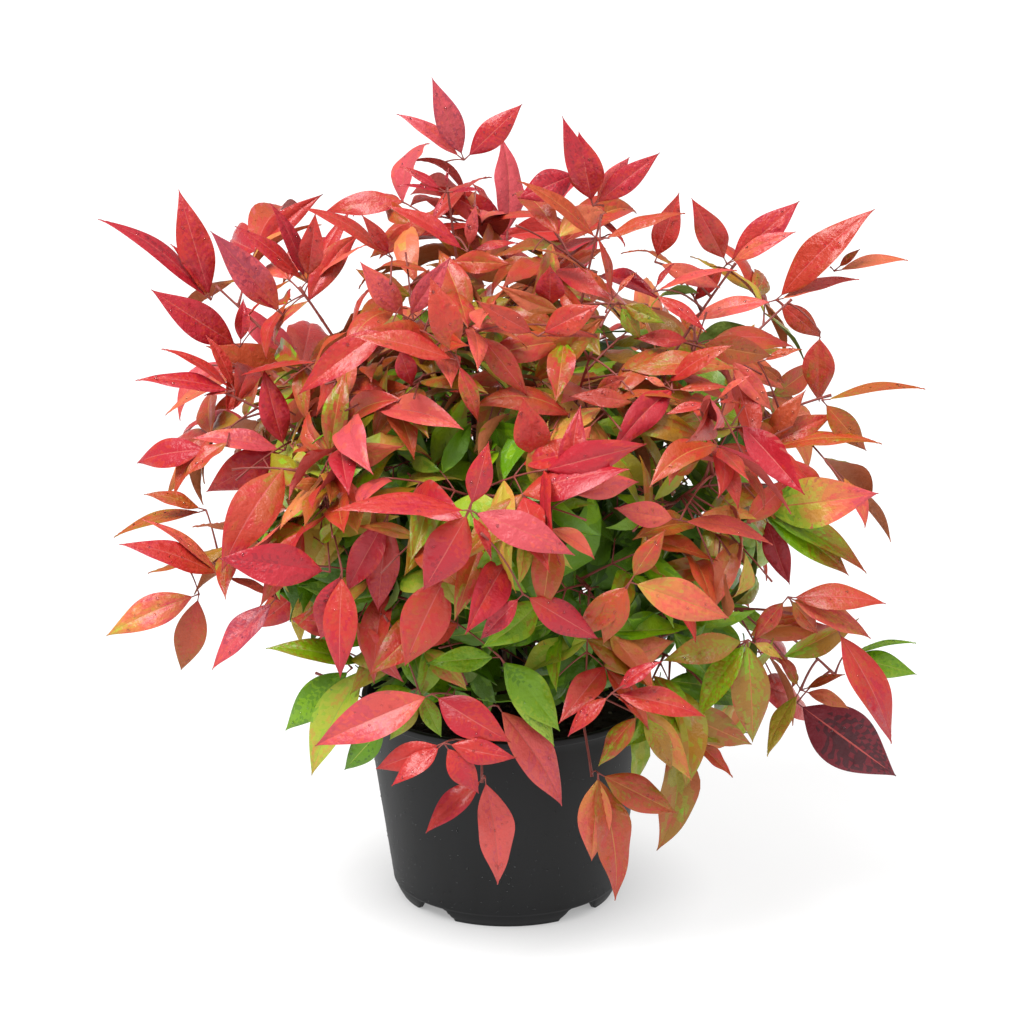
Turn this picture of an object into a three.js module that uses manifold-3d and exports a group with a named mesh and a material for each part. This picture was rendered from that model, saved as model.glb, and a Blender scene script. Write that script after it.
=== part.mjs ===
// Heavenly bamboo in a nursery pot: a clump of thin canes that arch out of the soil, side boughs
// that leave the canes, and masses of compound leaves that hang in a loose, round crown.
// Millimetres and degrees, +Z up. The camera side of the plant is -Y.
import * as THREE from "three";
import { mergeVertices } from "three/addons/utils/BufferGeometryUtils.js";
import Module from "manifold-3d";

const wasm = await Module();
wasm.setup();

// ---- Driving dimensions ---------------------------------------------------------------------

const CLEARANCE = 0.3; // left between two pieces that meet
const SMALLEST_EDGE = 0.01; // slivers under this are closed up after a union

const POT = {
  height: 145,
  rimRadius: 100, // outside of the wall at the top
  stepRadius: 80, // outside of the wall just above the step
  stepHeight: 10, // where the wall steps in to the foot ring
  stepDepth: 1,
  footRadius: 75, // outside of the foot ring on the ground
  footCurve: { out: 2, up: 3.5 }, // a point half way round the curve from the foot to the wall
  wall: 2.4,
  lipWidth: 1.5, // how far the rolled lip stands out
  lipHeight: 5,
  bevel: 1, // height of the slanted edges at the step and at the lip
  floorUnderside: 10,
  floorThickness: 2.5,
  segments: 40,
};
// The four gaps in the foot ring, to either side of the front and the back. The block that cuts one
// starts a little under the ground.
const NOTCH = { bearing: 41.5, footWidth: 34, topWidth: 21, height: 9, overshoot: 1 };
const SOIL = { belowRim: 13, crown: 3, flatShare: 0.6, segments: 24 };

// Where the canes stand: the further out and the lower a cane's tip is, the further out its foot.
const CLUMP = { innerRadius: 8, perOut: 0.085, perDrop: 0.03, topHeight: 580, ringFrom: 100 };
const CANE = {
  footRadius: 3.6,
  tipRadius: 1.7,
  flare: 1.5, // how much wider a cane is where it leaves the soil
  flareFade: 18, // how quickly that dies away along its bare length
  straightUp: 0.34, // share of its rise over which a cane heads straight up
  bendOut: 0.52, // where it bends over, as shares of its way out and of its rise
  bendUp: 0.7,
  sides: 5,
  rings: 7,
};
const BOUGH = {
  footRadius: 1.9,
  tipRadius: 1.25,
  flare: 0,
  flareFade: 1,
  reachOut: 45, // how far a bough heads square away from its cane
  bendBack: 0.35, // where it bends down to the tip, as a share of the way back to its foot
  seatLow: 0.3, // where on its cane a bough with the lowest tip sits, and one with the highest
  seatHigh: 0.92,
  lowestTip: 40,
  highestTip: 480,
  sides: 5,
  rings: 5,
};
const TWIG = { stemRadius: 1.5, stemRings: 4, rachisRadius: 1.1, tipShare: 0.8, sides: 3 };

const HEART_HEIGHT = 290; // the middle of the crown, over the pot's axis
const CANE_SPLIT = 0.62; // share of a cane's arch that is bare; the rest is inside its foliage
const BOUGH_SPLIT = 0.4;
const SITE_SHARE = 0.76; // where along its arch the middle of a mass lies

const LEAF = {
  length: 80,
  lengthSpread: 0.18,
  widthShare: 0.48,
  thickness: 1.2,
  widestAt: 0.46,
  fold: 0.12, // how far the two halves rise from the midrib, as a share of the width
  crest: 0.05, // how far the blade bows up, and its tip hangs, as shares of the length
  tipHang: 0.12,
  sink: 0.18, // how far every leaf turns down from its way off the twig
  root: 0.25, // how far the leaf's root runs on past the middle of its twig
  turnSpread: 6, // how far leaves differ in their angle off the twig and round their own midrib
  tiltSpread: 16,
  widthSpread: 0.12,
  testShares: [0.22, 0.34, 0.46, 0.58, 0.7, 0.85, 1], // where along a leaf it is felt for touching
  trims: [1, 0.86, 0.74, 0.62, 0.52], // a leaf short of room is made smaller, down to the last of these
};
const SPRAY = {
  length: 66, // from the stem to the end of the rachis
  lengthSpread: 0.35,
  perMass: 18, // besides the one that ends the stem
  endSize: 1.05, // of the leaflet that ends a rachis, against the pair next to it
  pairShrink: 0.1, // how much smaller each further pair is
  pairsFromEnd: [3, 36], // where pairs of leaflets sit on a rachis
  footBare: 9, // a rachis has no leaflets this close to its foot
  endAngle: 64, // between the rachis and the leaflets of its end pair, and of the pair below
  pairAngle: 70,
  openAtFoot: 80, // between the stem and a spray, at the stem's foot and at its end
  openAtTip: 42,
  lastShare: 0.8, // where on the stem the side sprays begin, and where they end
  firstShare: 0.1,
  sag: 0.14, // how far a rachis hangs at its end, and how far along it is straight
  straightShare: 0.55,
  testShares: [0.15, 0.3, 0.45, 0.6, 0.75, 0.9, 1],
  trims: [1, 0.8, 0.6, 0.42], // a spray short of room is made shorter, down to the last of these
  endRoom: 22, // free space that a spray needs round its end
  leastLeaves: 2, // a spray with room for fewer is left out
  bendOver: 42, // a rachis longer than this is made of two lengths
};
const LEAVES_PER_MASS = 19;
const SPACE_MARGIN = 0.5; // half the gap between two masses
const LIMB_MARGIN = 4.2; // from the middle of a leaf or twig to a limb's surface
const LEAF_MARGIN = 3.2; // between the blades of one mass, beyond their roots
const POT_MARGIN = 5;
const REACH_MARGIN = 10;
const LEAST_OUT = 150; // how far out, and how far over or under the heart, any mass may spread
const LEAST_RISE = 110;
const GOLDEN_ANGLE = 137.5;
const GOLDEN_SHARE = 0.618;
const FACING = { outward: 0.75, up: 0.65, front: 0.35 }; // where a mass turns its leaves
const STEM_STEP = 0.01; // how finely the end of a stem is looked for
const FIRST_SEED = 1000;
const SEED_STEP = 77;

// Each mass of foliage: the place of its furthest tip, as bearing round the pot (0 is +X, -90 the
// front), distance out from the axis and height, and how far its limb arches over the straight way.
// Some masses end a cane; the others end a bough, which leaves the cane with the nearest bearing.
const MASSES = [
  { name: "top_left", bearing: -172, out: 50, up: 580, lift: 0, onCane: true },
  { name: "top_right", bearing: -10, out: 80, up: 553, lift: 0, onCane: true },
  { name: "upper_right", bearing: 2, out: 196, up: 505, lift: 10, onCane: true },
  { name: "upper_left", bearing: -170, out: 186, up: 505, lift: 10, onCane: true },
  { name: "upper_front_left", bearing: -130, out: 130, up: 482, lift: 15, onCane: true },
  { name: "upper_front_right", bearing: -54, out: 130, up: 476, lift: 15, onCane: true },
  { name: "upper_back", bearing: 90, out: 150, up: 505, lift: 10, onCane: true },
  { name: "high_right", bearing: 16, out: 284, up: 458, lift: 30 },
  { name: "high_left", bearing: 168, out: 284, up: 482, lift: 20 },
  { name: "middle_right", bearing: -8, out: 290, up: 372, lift: 40 },
  { name: "middle_left", bearing: -178, out: 264, up: 374, lift: 40 },
  { name: "middle_front", bearing: -94, out: 226, up: 332, lift: 50 },
  { name: "middle_front_right", bearing: -36, out: 236, up: 372, lift: 30, onCane: true },
  { name: "middle_front_left", bearing: -146, out: 236, up: 376, lift: 30, onCane: true },
  { name: "middle_back", bearing: 92, out: 250, up: 345, lift: 40 },
  { name: "middle_back_right", bearing: 42, out: 256, up: 376, lift: 30, onCane: true },
  { name: "middle_back_left", bearing: 140, out: 256, up: 376, lift: 30, onCane: true },
  { name: "low_front_left", bearing: -118, out: 206, up: 216, lift: 60 },
  { name: "low_front_right", bearing: -68, out: 208, up: 220, lift: 60 },
  { name: "low_right", bearing: -24, out: 272, up: 205, lift: 60 },
  { name: "low_left", bearing: -165, out: 272, up: 222, lift: 50 },
  { name: "low_back_right", bearing: 55, out: 232, up: 160, lift: 80 },
  { name: "low_back_left", bearing: 130, out: 232, up: 160, lift: 80 },
  { name: "hanging_right", bearing: -6, out: 268, up: 112, lift: 90 },
  { name: "hanging_front_right", bearing: -40, out: 212, up: 132, lift: 90 },
  { name: "apron_right", bearing: -64, out: 152, up: 44, lift: 120 },
  { name: "apron_front", bearing: -96, out: 150, up: 58, lift: 110 },
  { name: "apron_left", bearing: -146, out: 186, up: 140, lift: 80 },
];

// ---- Finishes -------------------------------------------------------------------------------

const finish = (color, roughness) => () =>
  new THREE.MeshStandardMaterial({ color, roughness, metalness: 0 });
const blackPlastic = finish(0x2e3032, 0.55);
const darkSoil = finish(0x1c1613, 0.95);
const caneBark = finish(0x6e4a38, 0.7);
const boughBark = finish(0x8c4a40, 0.6);
const redLeaf = finish(0xb83a45, 0.45);

// ---- Small helpers --------------------------------------------------------------------------

const UP = new THREE.Vector3(0, 0, 1);
const FRONT = new THREE.Vector3(0, -1, 0);
const HEART = new THREE.Vector3(0, 0, HEART_HEIGHT);
const radians = THREE.MathUtils.degToRad;
const { lerp, clamp } = THREE.MathUtils;

// A small random generator: the same seed gives the same plant each time.
function seededRandom(seed) {
  let state = seed >>> 0;
  return () => {
    state = (Math.imul(state, 1664525) + 1013904223) >>> 0;
    return state / 4294967296;
  };
}

// A random amount between -size and size.
const spread = (size, random) => lerp(-size, size, random());

function polar(bearing, out, up) {
  const angle = radians(bearing);
  return new THREE.Vector3(out * Math.cos(angle), out * Math.sin(angle), up);
}

// point + direction * distance, as a new vector.
function step(point, direction, distance) {
  return point.clone().addScaledVector(direction, distance);
}

// The part of a direction that is square to another one, at length 1.
function squareTo(direction, axis) {
  return step(direction, axis, -direction.dot(axis)).normalize();
}

// A direction square to a curve, from which the turn of a spray round it is counted.
function startOfTurn(tangent) {
  const steep = Math.abs(tangent.z) > 0.9;
  return squareTo(steep ? FRONT : UP, tangent);
}

// ---- Solids ---------------------------------------------------------------------------------

function solidOf(geometry) {
  const bare = geometry.clone();
  bare.deleteAttribute("normal");
  bare.deleteAttribute("uv");
  const merged = mergeVertices(bare, 1e-4);
  return new wasm.Manifold(
    new wasm.Mesh({
      numProp: 3,
      vertProperties: merged.attributes.position.array,
      triVerts: new Uint32Array(merged.index.array),
    }),
  );
}

function geometryOf(solid) {
  const mesh = solid.getMesh();
  const geometry = new THREE.BufferGeometry();
  geometry.setAttribute("position", new THREE.BufferAttribute(mesh.vertProperties, 3));
  geometry.setIndex(new THREE.BufferAttribute(mesh.triVerts, 1));
  return geometry;
}

function indexedGeometry(points, triangles) {
  const geometry = new THREE.BufferGeometry().setFromPoints(points);
  geometry.setIndex(triangles.flat());
  return geometry;
}

// The largest body of a union: loose scraps are dropped, and hollows that it sealed are filled.
function largestBody(solid) {
  const bodies = solid.decompose();
  return bodies.reduce((best, body) => (body.volume() > best.volume() ? body : best));
}

// A tapering limb through points, with a flat cut square to the curve at each end.
function limbGeometry(points, tangents, radii, sides) {
  const vertices = [];
  let side = startOfTurn(tangents[0]);
  points.forEach((point, ring) => {
    side = squareTo(side, tangents[ring]);
    const across = tangents[ring].clone().cross(side);
    for (let k = 0; k < sides; k += 1) {
      const turn = (2 * Math.PI * k) / sides;
      const arm = side.clone().multiplyScalar(Math.cos(turn)).addScaledVector(across, Math.sin(turn));
      vertices.push(step(point, arm, radii[ring]));
    }
  });
  const triangles = [];
  for (let ring = 0; ring + 1 < points.length; ring += 1) {
    for (let k = 0; k < sides; k += 1) {
      const here = ring * sides + k;
      const beside = ring * sides + ((k + 1) % sides);
      triangles.push([here, beside, beside + sides], [here, beside + sides, here + sides]);
    }
  }
  const lastRing = (points.length - 1) * sides;
  for (let k = 1; k + 1 < sides; k += 1) {
    triangles.push([0, k + 1, k], [lastRing, lastRing + k, lastRing + k + 1]);
  }
  return indexedGeometry(vertices, triangles);
}

// A leaf as an eight-faced blade: folded along its midrib, bowed up, with a hanging tip.
function leafGeometry(leaf) {
  const { root, along, normal, length, width } = leaf;
  const across = normal.clone().cross(along);
  const middle = step(step(root, along, LEAF.widestAt * length), normal, LEAF.crest * length);
  const edge = step(middle, normal, LEAF.fold * width);
  const base = step(root, along, -LEAF.root);
  const tip = step(step(root, along, length), normal, -LEAF.tipHang * length);
  const right = step(edge, across, -width / 2);
  const left = step(edge, across, width / 2);
  const top = step(middle, normal, LEAF.thickness / 2);
  const under = step(middle, normal, -LEAF.thickness / 2);
  const triangles = [
    [0, 2, 4], [2, 1, 4], [1, 3, 4], [3, 0, 4],
    [2, 0, 5], [1, 2, 5], [3, 1, 5], [0, 3, 5],
  ];
  return indexedGeometry([base, tip, right, left, top, under], triangles);
}

// ---- Pot and soil ---------------------------------------------------------------------------

const WALL_SLOPE = (POT.rimRadius - POT.stepRadius) / (POT.height - POT.stepHeight);

function potRadiusAt(height) {
  return POT.stepRadius + WALL_SLOPE * (height - POT.stepHeight);
}

// The pot's wall, lip, floor and foot ring as one closed outline, turned round its axis.
function potProfile() {
  const underLip = POT.height - POT.lipHeight;
  const outer = [
    [POT.footRadius, 0],
    [POT.footRadius + POT.footCurve.out, POT.footCurve.up],
    [POT.stepRadius - POT.stepDepth, POT.stepHeight - POT.bevel],
    [POT.stepRadius, POT.stepHeight],
    [potRadiusAt(underLip - POT.bevel), underLip - POT.bevel],
    [potRadiusAt(underLip) + POT.lipWidth, underLip],
    [POT.rimRadius + POT.lipWidth, POT.height - POT.bevel],
    [POT.rimRadius + POT.lipWidth / 2, POT.height],
  ];
  const floorTop = POT.floorUnderside + POT.floorThickness;
  const inner = [
    [POT.rimRadius - POT.wall, POT.height],
    [potRadiusAt(floorTop) - POT.wall, floorTop],
    [0, floorTop],
    [0, POT.floorUnderside],
    [POT.footRadius - POT.wall, POT.floorUnderside],
    [POT.footRadius - POT.wall, 0],
    [POT.footRadius, 0],
  ];
  return [...outer, ...inner].map(([x, y]) => new THREE.Vector2(x, y));
}

// A lathe turned from three.js's Y axis to +Z.
function lathe(profile, segments) {
  return new THREE.LatheGeometry(profile, segments).rotateX(Math.PI / 2);
}

// A block with slanted sides that opens one gap in the foot ring.
function notchGeometry(bearing) {
  const below = -NOTCH.overshoot;
  const outline = new THREE.Shape([
    new THREE.Vector2(-NOTCH.footWidth / 2 - NOTCH.overshoot, below),
    new THREE.Vector2(NOTCH.footWidth / 2 + NOTCH.overshoot, below),
    new THREE.Vector2(NOTCH.topWidth / 2, NOTCH.height),
    new THREE.Vector2(-NOTCH.topWidth / 2, NOTCH.height),
  ]);
  const depth = POT.stepRadius;
  const block = new THREE.ExtrudeGeometry(outline, { depth, bevelEnabled: false });
  block.rotateX(Math.PI / 2).rotateZ(radians(90)).translate(POT.footRadius / 2, 0, 0);
  return block.rotateZ(radians(bearing));
}

function potSolid() {
  let pot = solidOf(lathe(potProfile(), POT.segments));
  for (const middle of [-90, 90]) {
    for (const side of [-1, 1]) {
      pot = pot.subtract(solidOf(notchGeometry(middle + side * NOTCH.bearing)));
    }
  }
  return pot;
}

const SOIL_TOP = POT.height - SOIL.belowRim + SOIL.crown;

function soilGeometry() {
  const bottom = POT.floorUnderside + POT.floorThickness + CLEARANCE;
  const edge = POT.height - SOIL.belowRim;
  const inside = (height) => potRadiusAt(height) - POT.wall - 2 * CLEARANCE;
  const profile = [
    new THREE.Vector2(0, bottom),
    new THREE.Vector2(inside(bottom), bottom),
    new THREE.Vector2(inside(edge), edge),
    new THREE.Vector2(inside(edge) * SOIL.flatShare, SOIL_TOP),
    new THREE.Vector2(0, SOIL_TOP),
  ];
  return lathe(profile, SOIL.segments);
}

// ---- Canes and boughs -----------------------------------------------------------------------

// The change of a cubic curve's point with its share.
function velocityOf({ v0, v1, v2, v3 }, share) {
  const rest = 1 - share;
  return v1.clone().sub(v0).multiplyScalar(3 * rest * rest)
    .addScaledVector(v2.clone().sub(v1), 6 * rest * share)
    .addScaledVector(v3.clone().sub(v2), 3 * share * share);
}

// The stretch of a cubic curve between two shares of it, as a curve of its own.
function stretchOf(curve, from, to) {
  const third = (to - from) / 3;
  const start = curve.getPoint(from);
  const end = curve.getPoint(to);
  const afterStart = step(start, velocityOf(curve, from), third);
  const beforeEnd = step(end, velocityOf(curve, to), -third);
  return new THREE.CubicBezierCurve3(start, afterStart, beforeEnd, end);
}

// The curve of a cane and of the stem in its foliage: up from the soil, then out to the tip.
function caneArch(mass) {
  const tip = polar(mass.bearing, mass.out, mass.up);
  const drop = CLUMP.topHeight - mass.up;
  const footOut = CLUMP.innerRadius + CLUMP.perOut * mass.out + CLUMP.perDrop * drop;
  const foot = polar(mass.bearing, footOut, SOIL_TOP + CLEARANCE);
  const lower = step(foot, UP, CANE.straightUp * (mass.up - foot.z));
  const bendHeight = lerp(foot.z, mass.up, CANE.bendUp) + mass.lift;
  const upper = polar(mass.bearing, lerp(footOut, mass.out, CANE.bendOut), bendHeight);
  return new THREE.CubicBezierCurve3(foot, lower, upper, tip);
}

// A place on the straight lengths that a limb is made of: its middle, direction and radius there.
function placeOn({ points, radii }, share) {
  const lengths = points.length - 1;
  const below = Math.min(Math.floor(share * lengths), lengths - 1);
  const part = share * lengths - below;
  return {
    point: points[below].clone().lerp(points[below + 1], part),
    along: points[below + 1].clone().sub(points[below]).normalize(),
    radius: lerp(radii[below], radii[below + 1], part),
  };
}

// The curve of a bough and its stem: square off the side of its cane, over, and down to the tip.
function boughArch(mass, cane) {
  const tip = polar(mass.bearing, mass.out, mass.up);
  const height = THREE.MathUtils.inverseLerp(BOUGH.lowestTip, BOUGH.highestTip, mass.up);
  const onCane = placeOn(cane, lerp(BOUGH.seatLow, BOUGH.seatHigh, clamp(height, 0, 1)));
  const away = squareTo(tip.clone().sub(onCane.point), onCane.along);
  const foot = step(onCane.point, away, onCane.radius + CLEARANCE);
  const upper = step(tip.clone().lerp(foot, BOUGH.bendBack), UP, mass.lift);
  return new THREE.CubicBezierCurve3(foot, step(foot, away, BOUGH.reachOut), upper, tip);
}

// A limb is the bare first share of an arch, cut flat at both ends.
function limbOf(arch, split, sizes) {
  const radiusAt = (share) => lerp(sizes.footRadius, sizes.tipRadius, share) +
    sizes.flare * Math.exp(-share * sizes.flareFade);
  const shares = Array.from({ length: sizes.rings }, (_, ring) => ring / (sizes.rings - 1));
  const points = shares.map((share) => arch.getPoint(share * split));
  const tangents = shares.map((share) => arch.getTangent(share * split));
  const radii = shares.map(radiusAt);
  const geometry = limbGeometry(points, tangents, radii, sizes.sides);
  return { arch, split, points, radii, radiusAt, geometry };
}

function bearingGap(a, b) {
  const turn = Math.abs(a - b) % 360;
  return Math.min(turn, 360 - turn);
}

const canes = MASSES.filter((mass) => mass.onCane).map((mass) => {
  const arch = caneArch(mass);
  return { mass, ...limbOf(arch, CANE_SPLIT, CANE) };
});

const boughs = MASSES.filter((mass) => !mass.onCane).map((mass) => {
  const ring = canes.filter((cane) => cane.mass.out > CLUMP.ringFrom);
  const nearest = ring.reduce((best, cane) =>
    bearingGap(cane.mass.bearing, mass.bearing) < bearingGap(best.mass.bearing, mass.bearing)
      ? cane : best);
  return { mass, ...limbOf(boughArch(mass, nearest), BOUGH_SPLIT, BOUGH) };
});

const limbs = [...canes, ...boughs];

// ---- Foliage --------------------------------------------------------------------------------

const LIMB_SAMPLE = 5; // millimetres between the points at which a limb is felt for
const limbSamples = limbs.flatMap((limb) => {
  const count = Math.ceil((limb.arch.getLength() * limb.split) / LIMB_SAMPLE);
  return Array.from({ length: count + 1 }, (_, k) => ({
    point: limb.arch.getPoint((k / count) * limb.split),
    radius: limb.radiusAt(k / count),
  }));
});

const sites = limbs.map((limb) => ({ mass: limb.mass, point: limb.arch.getPoint(SITE_SHARE) }));

// A mass keeps to the points that are nearer the middle of its own foliage than any other's, goes no
// further out, up or down from the heart of the crown than its tip, and stays outside the pot. With
// some room asked for, the point has to be that far inside all this.
function isInSpace(mass, point, room) {
  const own = sites.find((site) => site.mass === mass).point;
  const slack = REACH_MARGIN - room;
  const fromAxis = Math.hypot(point.x, point.y);
  if (fromAxis > Math.max(mass.out, LEAST_OUT) + slack) return false;
  if (point.z > Math.max(mass.up, HEART_HEIGHT + LEAST_RISE) + slack) return false;
  if (point.z < Math.min(mass.up, HEART_HEIGHT - LEAST_RISE) - slack) return false;
  if (point.z < POT.height + POT_MARGIN && fromAxis < potRadiusAt(point.z) + POT_MARGIN) return false;
  return sites.every((site) => {
    if (site.mass === mass) return true;
    const apart = own.clone().sub(site.point);
    const border = own.clone().add(site.point).multiplyScalar(0.5);
    return point.clone().sub(border).dot(apart) / apart.length() >= SPACE_MARGIN + room;
  });
}

function touchesLimb(point) {
  return limbSamples.some(({ point: middle, radius }) =>
    middle.distanceTo(point) < radius + LIMB_MARGIN);
}

// Points spread over a leaf's blade, at which it is tested.
function leafSamples({ root, along, normal, length, width }) {
  const across = normal.clone().cross(along);
  const samples = [];
  for (const share of LEAF.testShares) {
    const rise = lerp(LEAF.crest, -LEAF.tipHang, share) * length;
    const middle = step(step(root, along, share * length), normal, rise);
    const half = (width / 2) * (share < LEAF.widestAt
      ? share / LEAF.widestAt : (1 - share) / (1 - LEAF.widestAt));
    samples.push(middle, step(middle, across, half), step(middle, across, -half));
  }
  return samples;
}

function curveSamples(curve) {
  return SPRAY.testShares.map((share) => curve.getPoint(share));
}

const isFree = (mass, points) =>
  points.every((point) => isInSpace(mass, point, 0) && !touchesLimb(point));

const isClear = (points, others) =>
  points.every((point) => others.every((other) => point.distanceTo(other) > LEAF_MARGIN));

// The leaf at the largest size at which it keeps to its space, or nothing.
function fitLeaf(mass, leaf, taken) {
  return LEAF.trims
    .map((trim) => ({ ...leaf, length: leaf.length * trim, width: leaf.width * trim }))
    .find((trimmed) => {
      const samples = leafSamples(trimmed);
      return isFree(mass, samples) && isClear(samples, taken);
    });
}

// A leaflet on a rachis: its root, heading, blade and size, its blade turned to face one way.
function leafOn(rachis, share, angle, size, facing, random) {
  const tangent = rachis.getTangent(share);
  const normal = squareTo(facing, tangent);
  const across = normal.clone().cross(tangent);
  const turn = radians(angle + spread(LEAF.turnSpread, random));
  const heading = tangent.clone().multiplyScalar(Math.cos(turn))
    .addScaledVector(across, Math.sin(turn)).addScaledVector(UP, -LEAF.sink).normalize();
  const tilt = radians(spread(LEAF.tiltSpread, random));
  const blade = squareTo(normal, heading).applyAxisAngle(heading, tilt);
  const length = LEAF.length * size * (1 + spread(LEAF.lengthSpread, random));
  const width = length * LEAF.widthShare * (1 + spread(LEAF.widthSpread, random));
  return { root: rachis.getPoint(share), along: heading, normal: blade, length, width };
}

// A compound leaf along its rachis: one leaflet at the end, and pairs of them down it.
function leavesAlong(rachis, facing, random) {
  const length = rachis.getLength();
  const leaves = [leafOn(rachis, 1, 0, SPRAY.endSize, facing, random)];
  SPRAY.pairsFromEnd.forEach((fromEnd, pair) => {
    const angle = pair === 0 ? SPRAY.endAngle : SPRAY.pairAngle;
    const share = Math.max(1 - fromEnd / length, 0);
    const sides = [angle, -angle].map((turn) =>
      leafOn(rachis, share, turn, 1 - SPRAY.pairShrink * pair, facing, random));
    if (share * length > SPRAY.footBare) leaves.push(...sides);
  });
  return leaves;
}

// The rachis of a side spray, which sags along its way. Where its end would crowd the border of the
// mass it is shorter.
function rachisOf(mass, base, along, length) {
  const endAt = (trim) => step(step(base, along, length * trim), UP, -SPRAY.sag * length * trim);
  const fits = SPRAY.trims.find((trim) => isInSpace(mass, endAt(trim), SPRAY.endRoom));
  const trim = fits ?? SPRAY.trims.at(-1);
  const middle = step(base, along, SPRAY.straightShare * length * trim);
  return new THREE.QuadraticBezierCurve3(base, middle, endAt(trim));
}

// The stem of a mass follows its limb's arch, and stops a leaf's length short of the tip.
function stemOf({ arch, split }, tip) {
  let end = 1;
  while (arch.getPoint(end).distanceTo(tip) < LEAF.length) end -= STEM_STEP;
  return stretchOf(arch, split + CLEARANCE / arch.getLength(), end);
}

// The sprays of a mass: first the leaves that end its stem, the last of them at the tip, then side
// sprays down the stem, each turned a golden angle from the one before.
function growMass(limb, index) {
  const { mass } = limb;
  const random = seededRandom(FIRST_SEED + SEED_STEP * index);
  const tip = polar(mass.bearing, mass.out, mass.up);
  const stem = stemOf(limb, tip);
  const facing = stem.v3.clone().sub(HEART).normalize().multiplyScalar(FACING.outward)
    .addScaledVector(UP, FACING.up).addScaledVector(FRONT, FACING.front).normalize();
  const leading = leavesAlong(stem, facing, random);
  const last = leading[0];
  const toTip = tip.clone().sub(last.root);
  last.length = toTip.length();
  last.along = toTip.normalize();
  last.normal = squareTo(last.normal, last.along);
  const sprays = [{ leaves: leading }];
  let roll = 360 * random();
  for (let k = 0; k < SPRAY.perMass; k += 1) {
    const share = lerp(SPRAY.lastShare, SPRAY.firstShare, (k * GOLDEN_SHARE) % 1);
    const tangent = stem.getTangent(share);
    const side = startOfTurn(tangent).applyAxisAngle(tangent, radians(roll));
    const open = radians(lerp(SPRAY.openAtFoot, SPRAY.openAtTip, share));
    const along = tangent.clone().multiplyScalar(Math.cos(open)).addScaledVector(side, Math.sin(open));
    const length = SPRAY.length * (1 + spread(SPRAY.lengthSpread, random));
    const rachis = rachisOf(mass, stem.getPoint(share), along, length);
    sprays.push({ rachis, leaves: leavesAlong(rachis, facing, random) });
    roll += GOLDEN_ANGLE;
  }
  return { mass, stem, sprays };
}

// A three-sided twig along a curve.
function twigSolid(curve, radius, rings) {
  const shares = Array.from({ length: rings }, (_, ring) => ring / (rings - 1));
  const points = shares.map((share) => curve.getPoint(share));
  const tangents = shares.map((share) => curve.getTangent(share));
  const radii = shares.map((share) => radius * lerp(1, TWIG.tipShare, share));
  return solidOf(limbGeometry(points, tangents, radii, TWIG.sides));
}

// The leaves of a mass that fit, spray by spray, clear of its own twigs and of one another.
function keptSprays({ mass, stem, sprays }) {
  const taken = curveSamples(stem);
  let room = LEAVES_PER_MASS;
  const kept = [];
  for (const { rachis, leaves } of sprays) {
    const twig = rachis ? curveSamples(rachis) : [];
    if (!isFree(mass, twig)) continue;
    const fitted = [];
    for (const leaf of leaves.slice(0, room)) {
      const near = [...taken, ...twig, ...fitted.flatMap(leafSamples)];
      const trimmed = fitLeaf(mass, leaf, near);
      if (!trimmed) continue;
      fitted.push(trimmed);
    }
    if (fitted.length < SPRAY.leastLeaves) continue;
    taken.push(...twig, ...fitted.flatMap(leafSamples));
    room -= fitted.length;
    kept.push({ rachis, leaves: fitted });
  }
  return kept;
}

// One mass of foliage: its stem, its twigs and their leaves as one solid.
function foliageSolid(limb, index) {
  const grown = growMass(limb, index);
  const sprays = keptSprays(grown);
  const parts = [twigSolid(grown.stem, TWIG.stemRadius, TWIG.stemRings)];
  for (const { rachis, leaves } of sprays) {
    if (rachis) {
      const rings = rachis.getLength() > SPRAY.bendOver ? 3 : 2;
      parts.push(twigSolid(rachis, TWIG.rachisRadius, rings));
    }
    parts.push(...leaves.map((leaf) => solidOf(leafGeometry(leaf))));
  }
  return largestBody(wasm.Manifold.union(parts).simplify(SMALLEST_EDGE));
}

// ---- The whole plant ------------------------------------------------------------------------

function piece(name, geometry, material) {
  const mesh = new THREE.Mesh(geometry, material());
  mesh.name = name;
  return mesh;
}

const plant = new THREE.Group();
plant.name = "heavenly_bamboo";
plant.add(piece("pot", geometryOf(potSolid()), blackPlastic));
plant.add(piece("soil", soilGeometry(), darkSoil));
for (const cane of canes) plant.add(piece(`cane_${cane.mass.name}`, cane.geometry, caneBark));
for (const bough of boughs) plant.add(piece(`bough_${bough.mass.name}`, bough.geometry, boughBark));
limbs.forEach((limb, index) => {
  const solid = foliageSolid(limb, index);
  plant.add(piece(`leaves_${limb.mass.name}`, geometryOf(solid), redLeaf));
});

// The origin is on the ground, under the middle of the whole plant's box.
const middle = new THREE.Box3().setFromObject(plant, true).getCenter(new THREE.Vector3());
plant.position.set(-middle.x, -middle.y, 0);

export default plant;
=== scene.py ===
# %% [markdown]
# # Dressing a potted heavenly bamboo
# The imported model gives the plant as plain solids: a pot, its potting mix, canes, boughs and masses
# of foliage. Here every one of them gets a finer piece in the same place. The leaves are modelled at
# life size, so there are many more of them than in the solids. They are joined meshes made from
# arrays, one piece for each mass of foliage. The frame is loaded first, because all sizes and
# places come from it.

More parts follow.
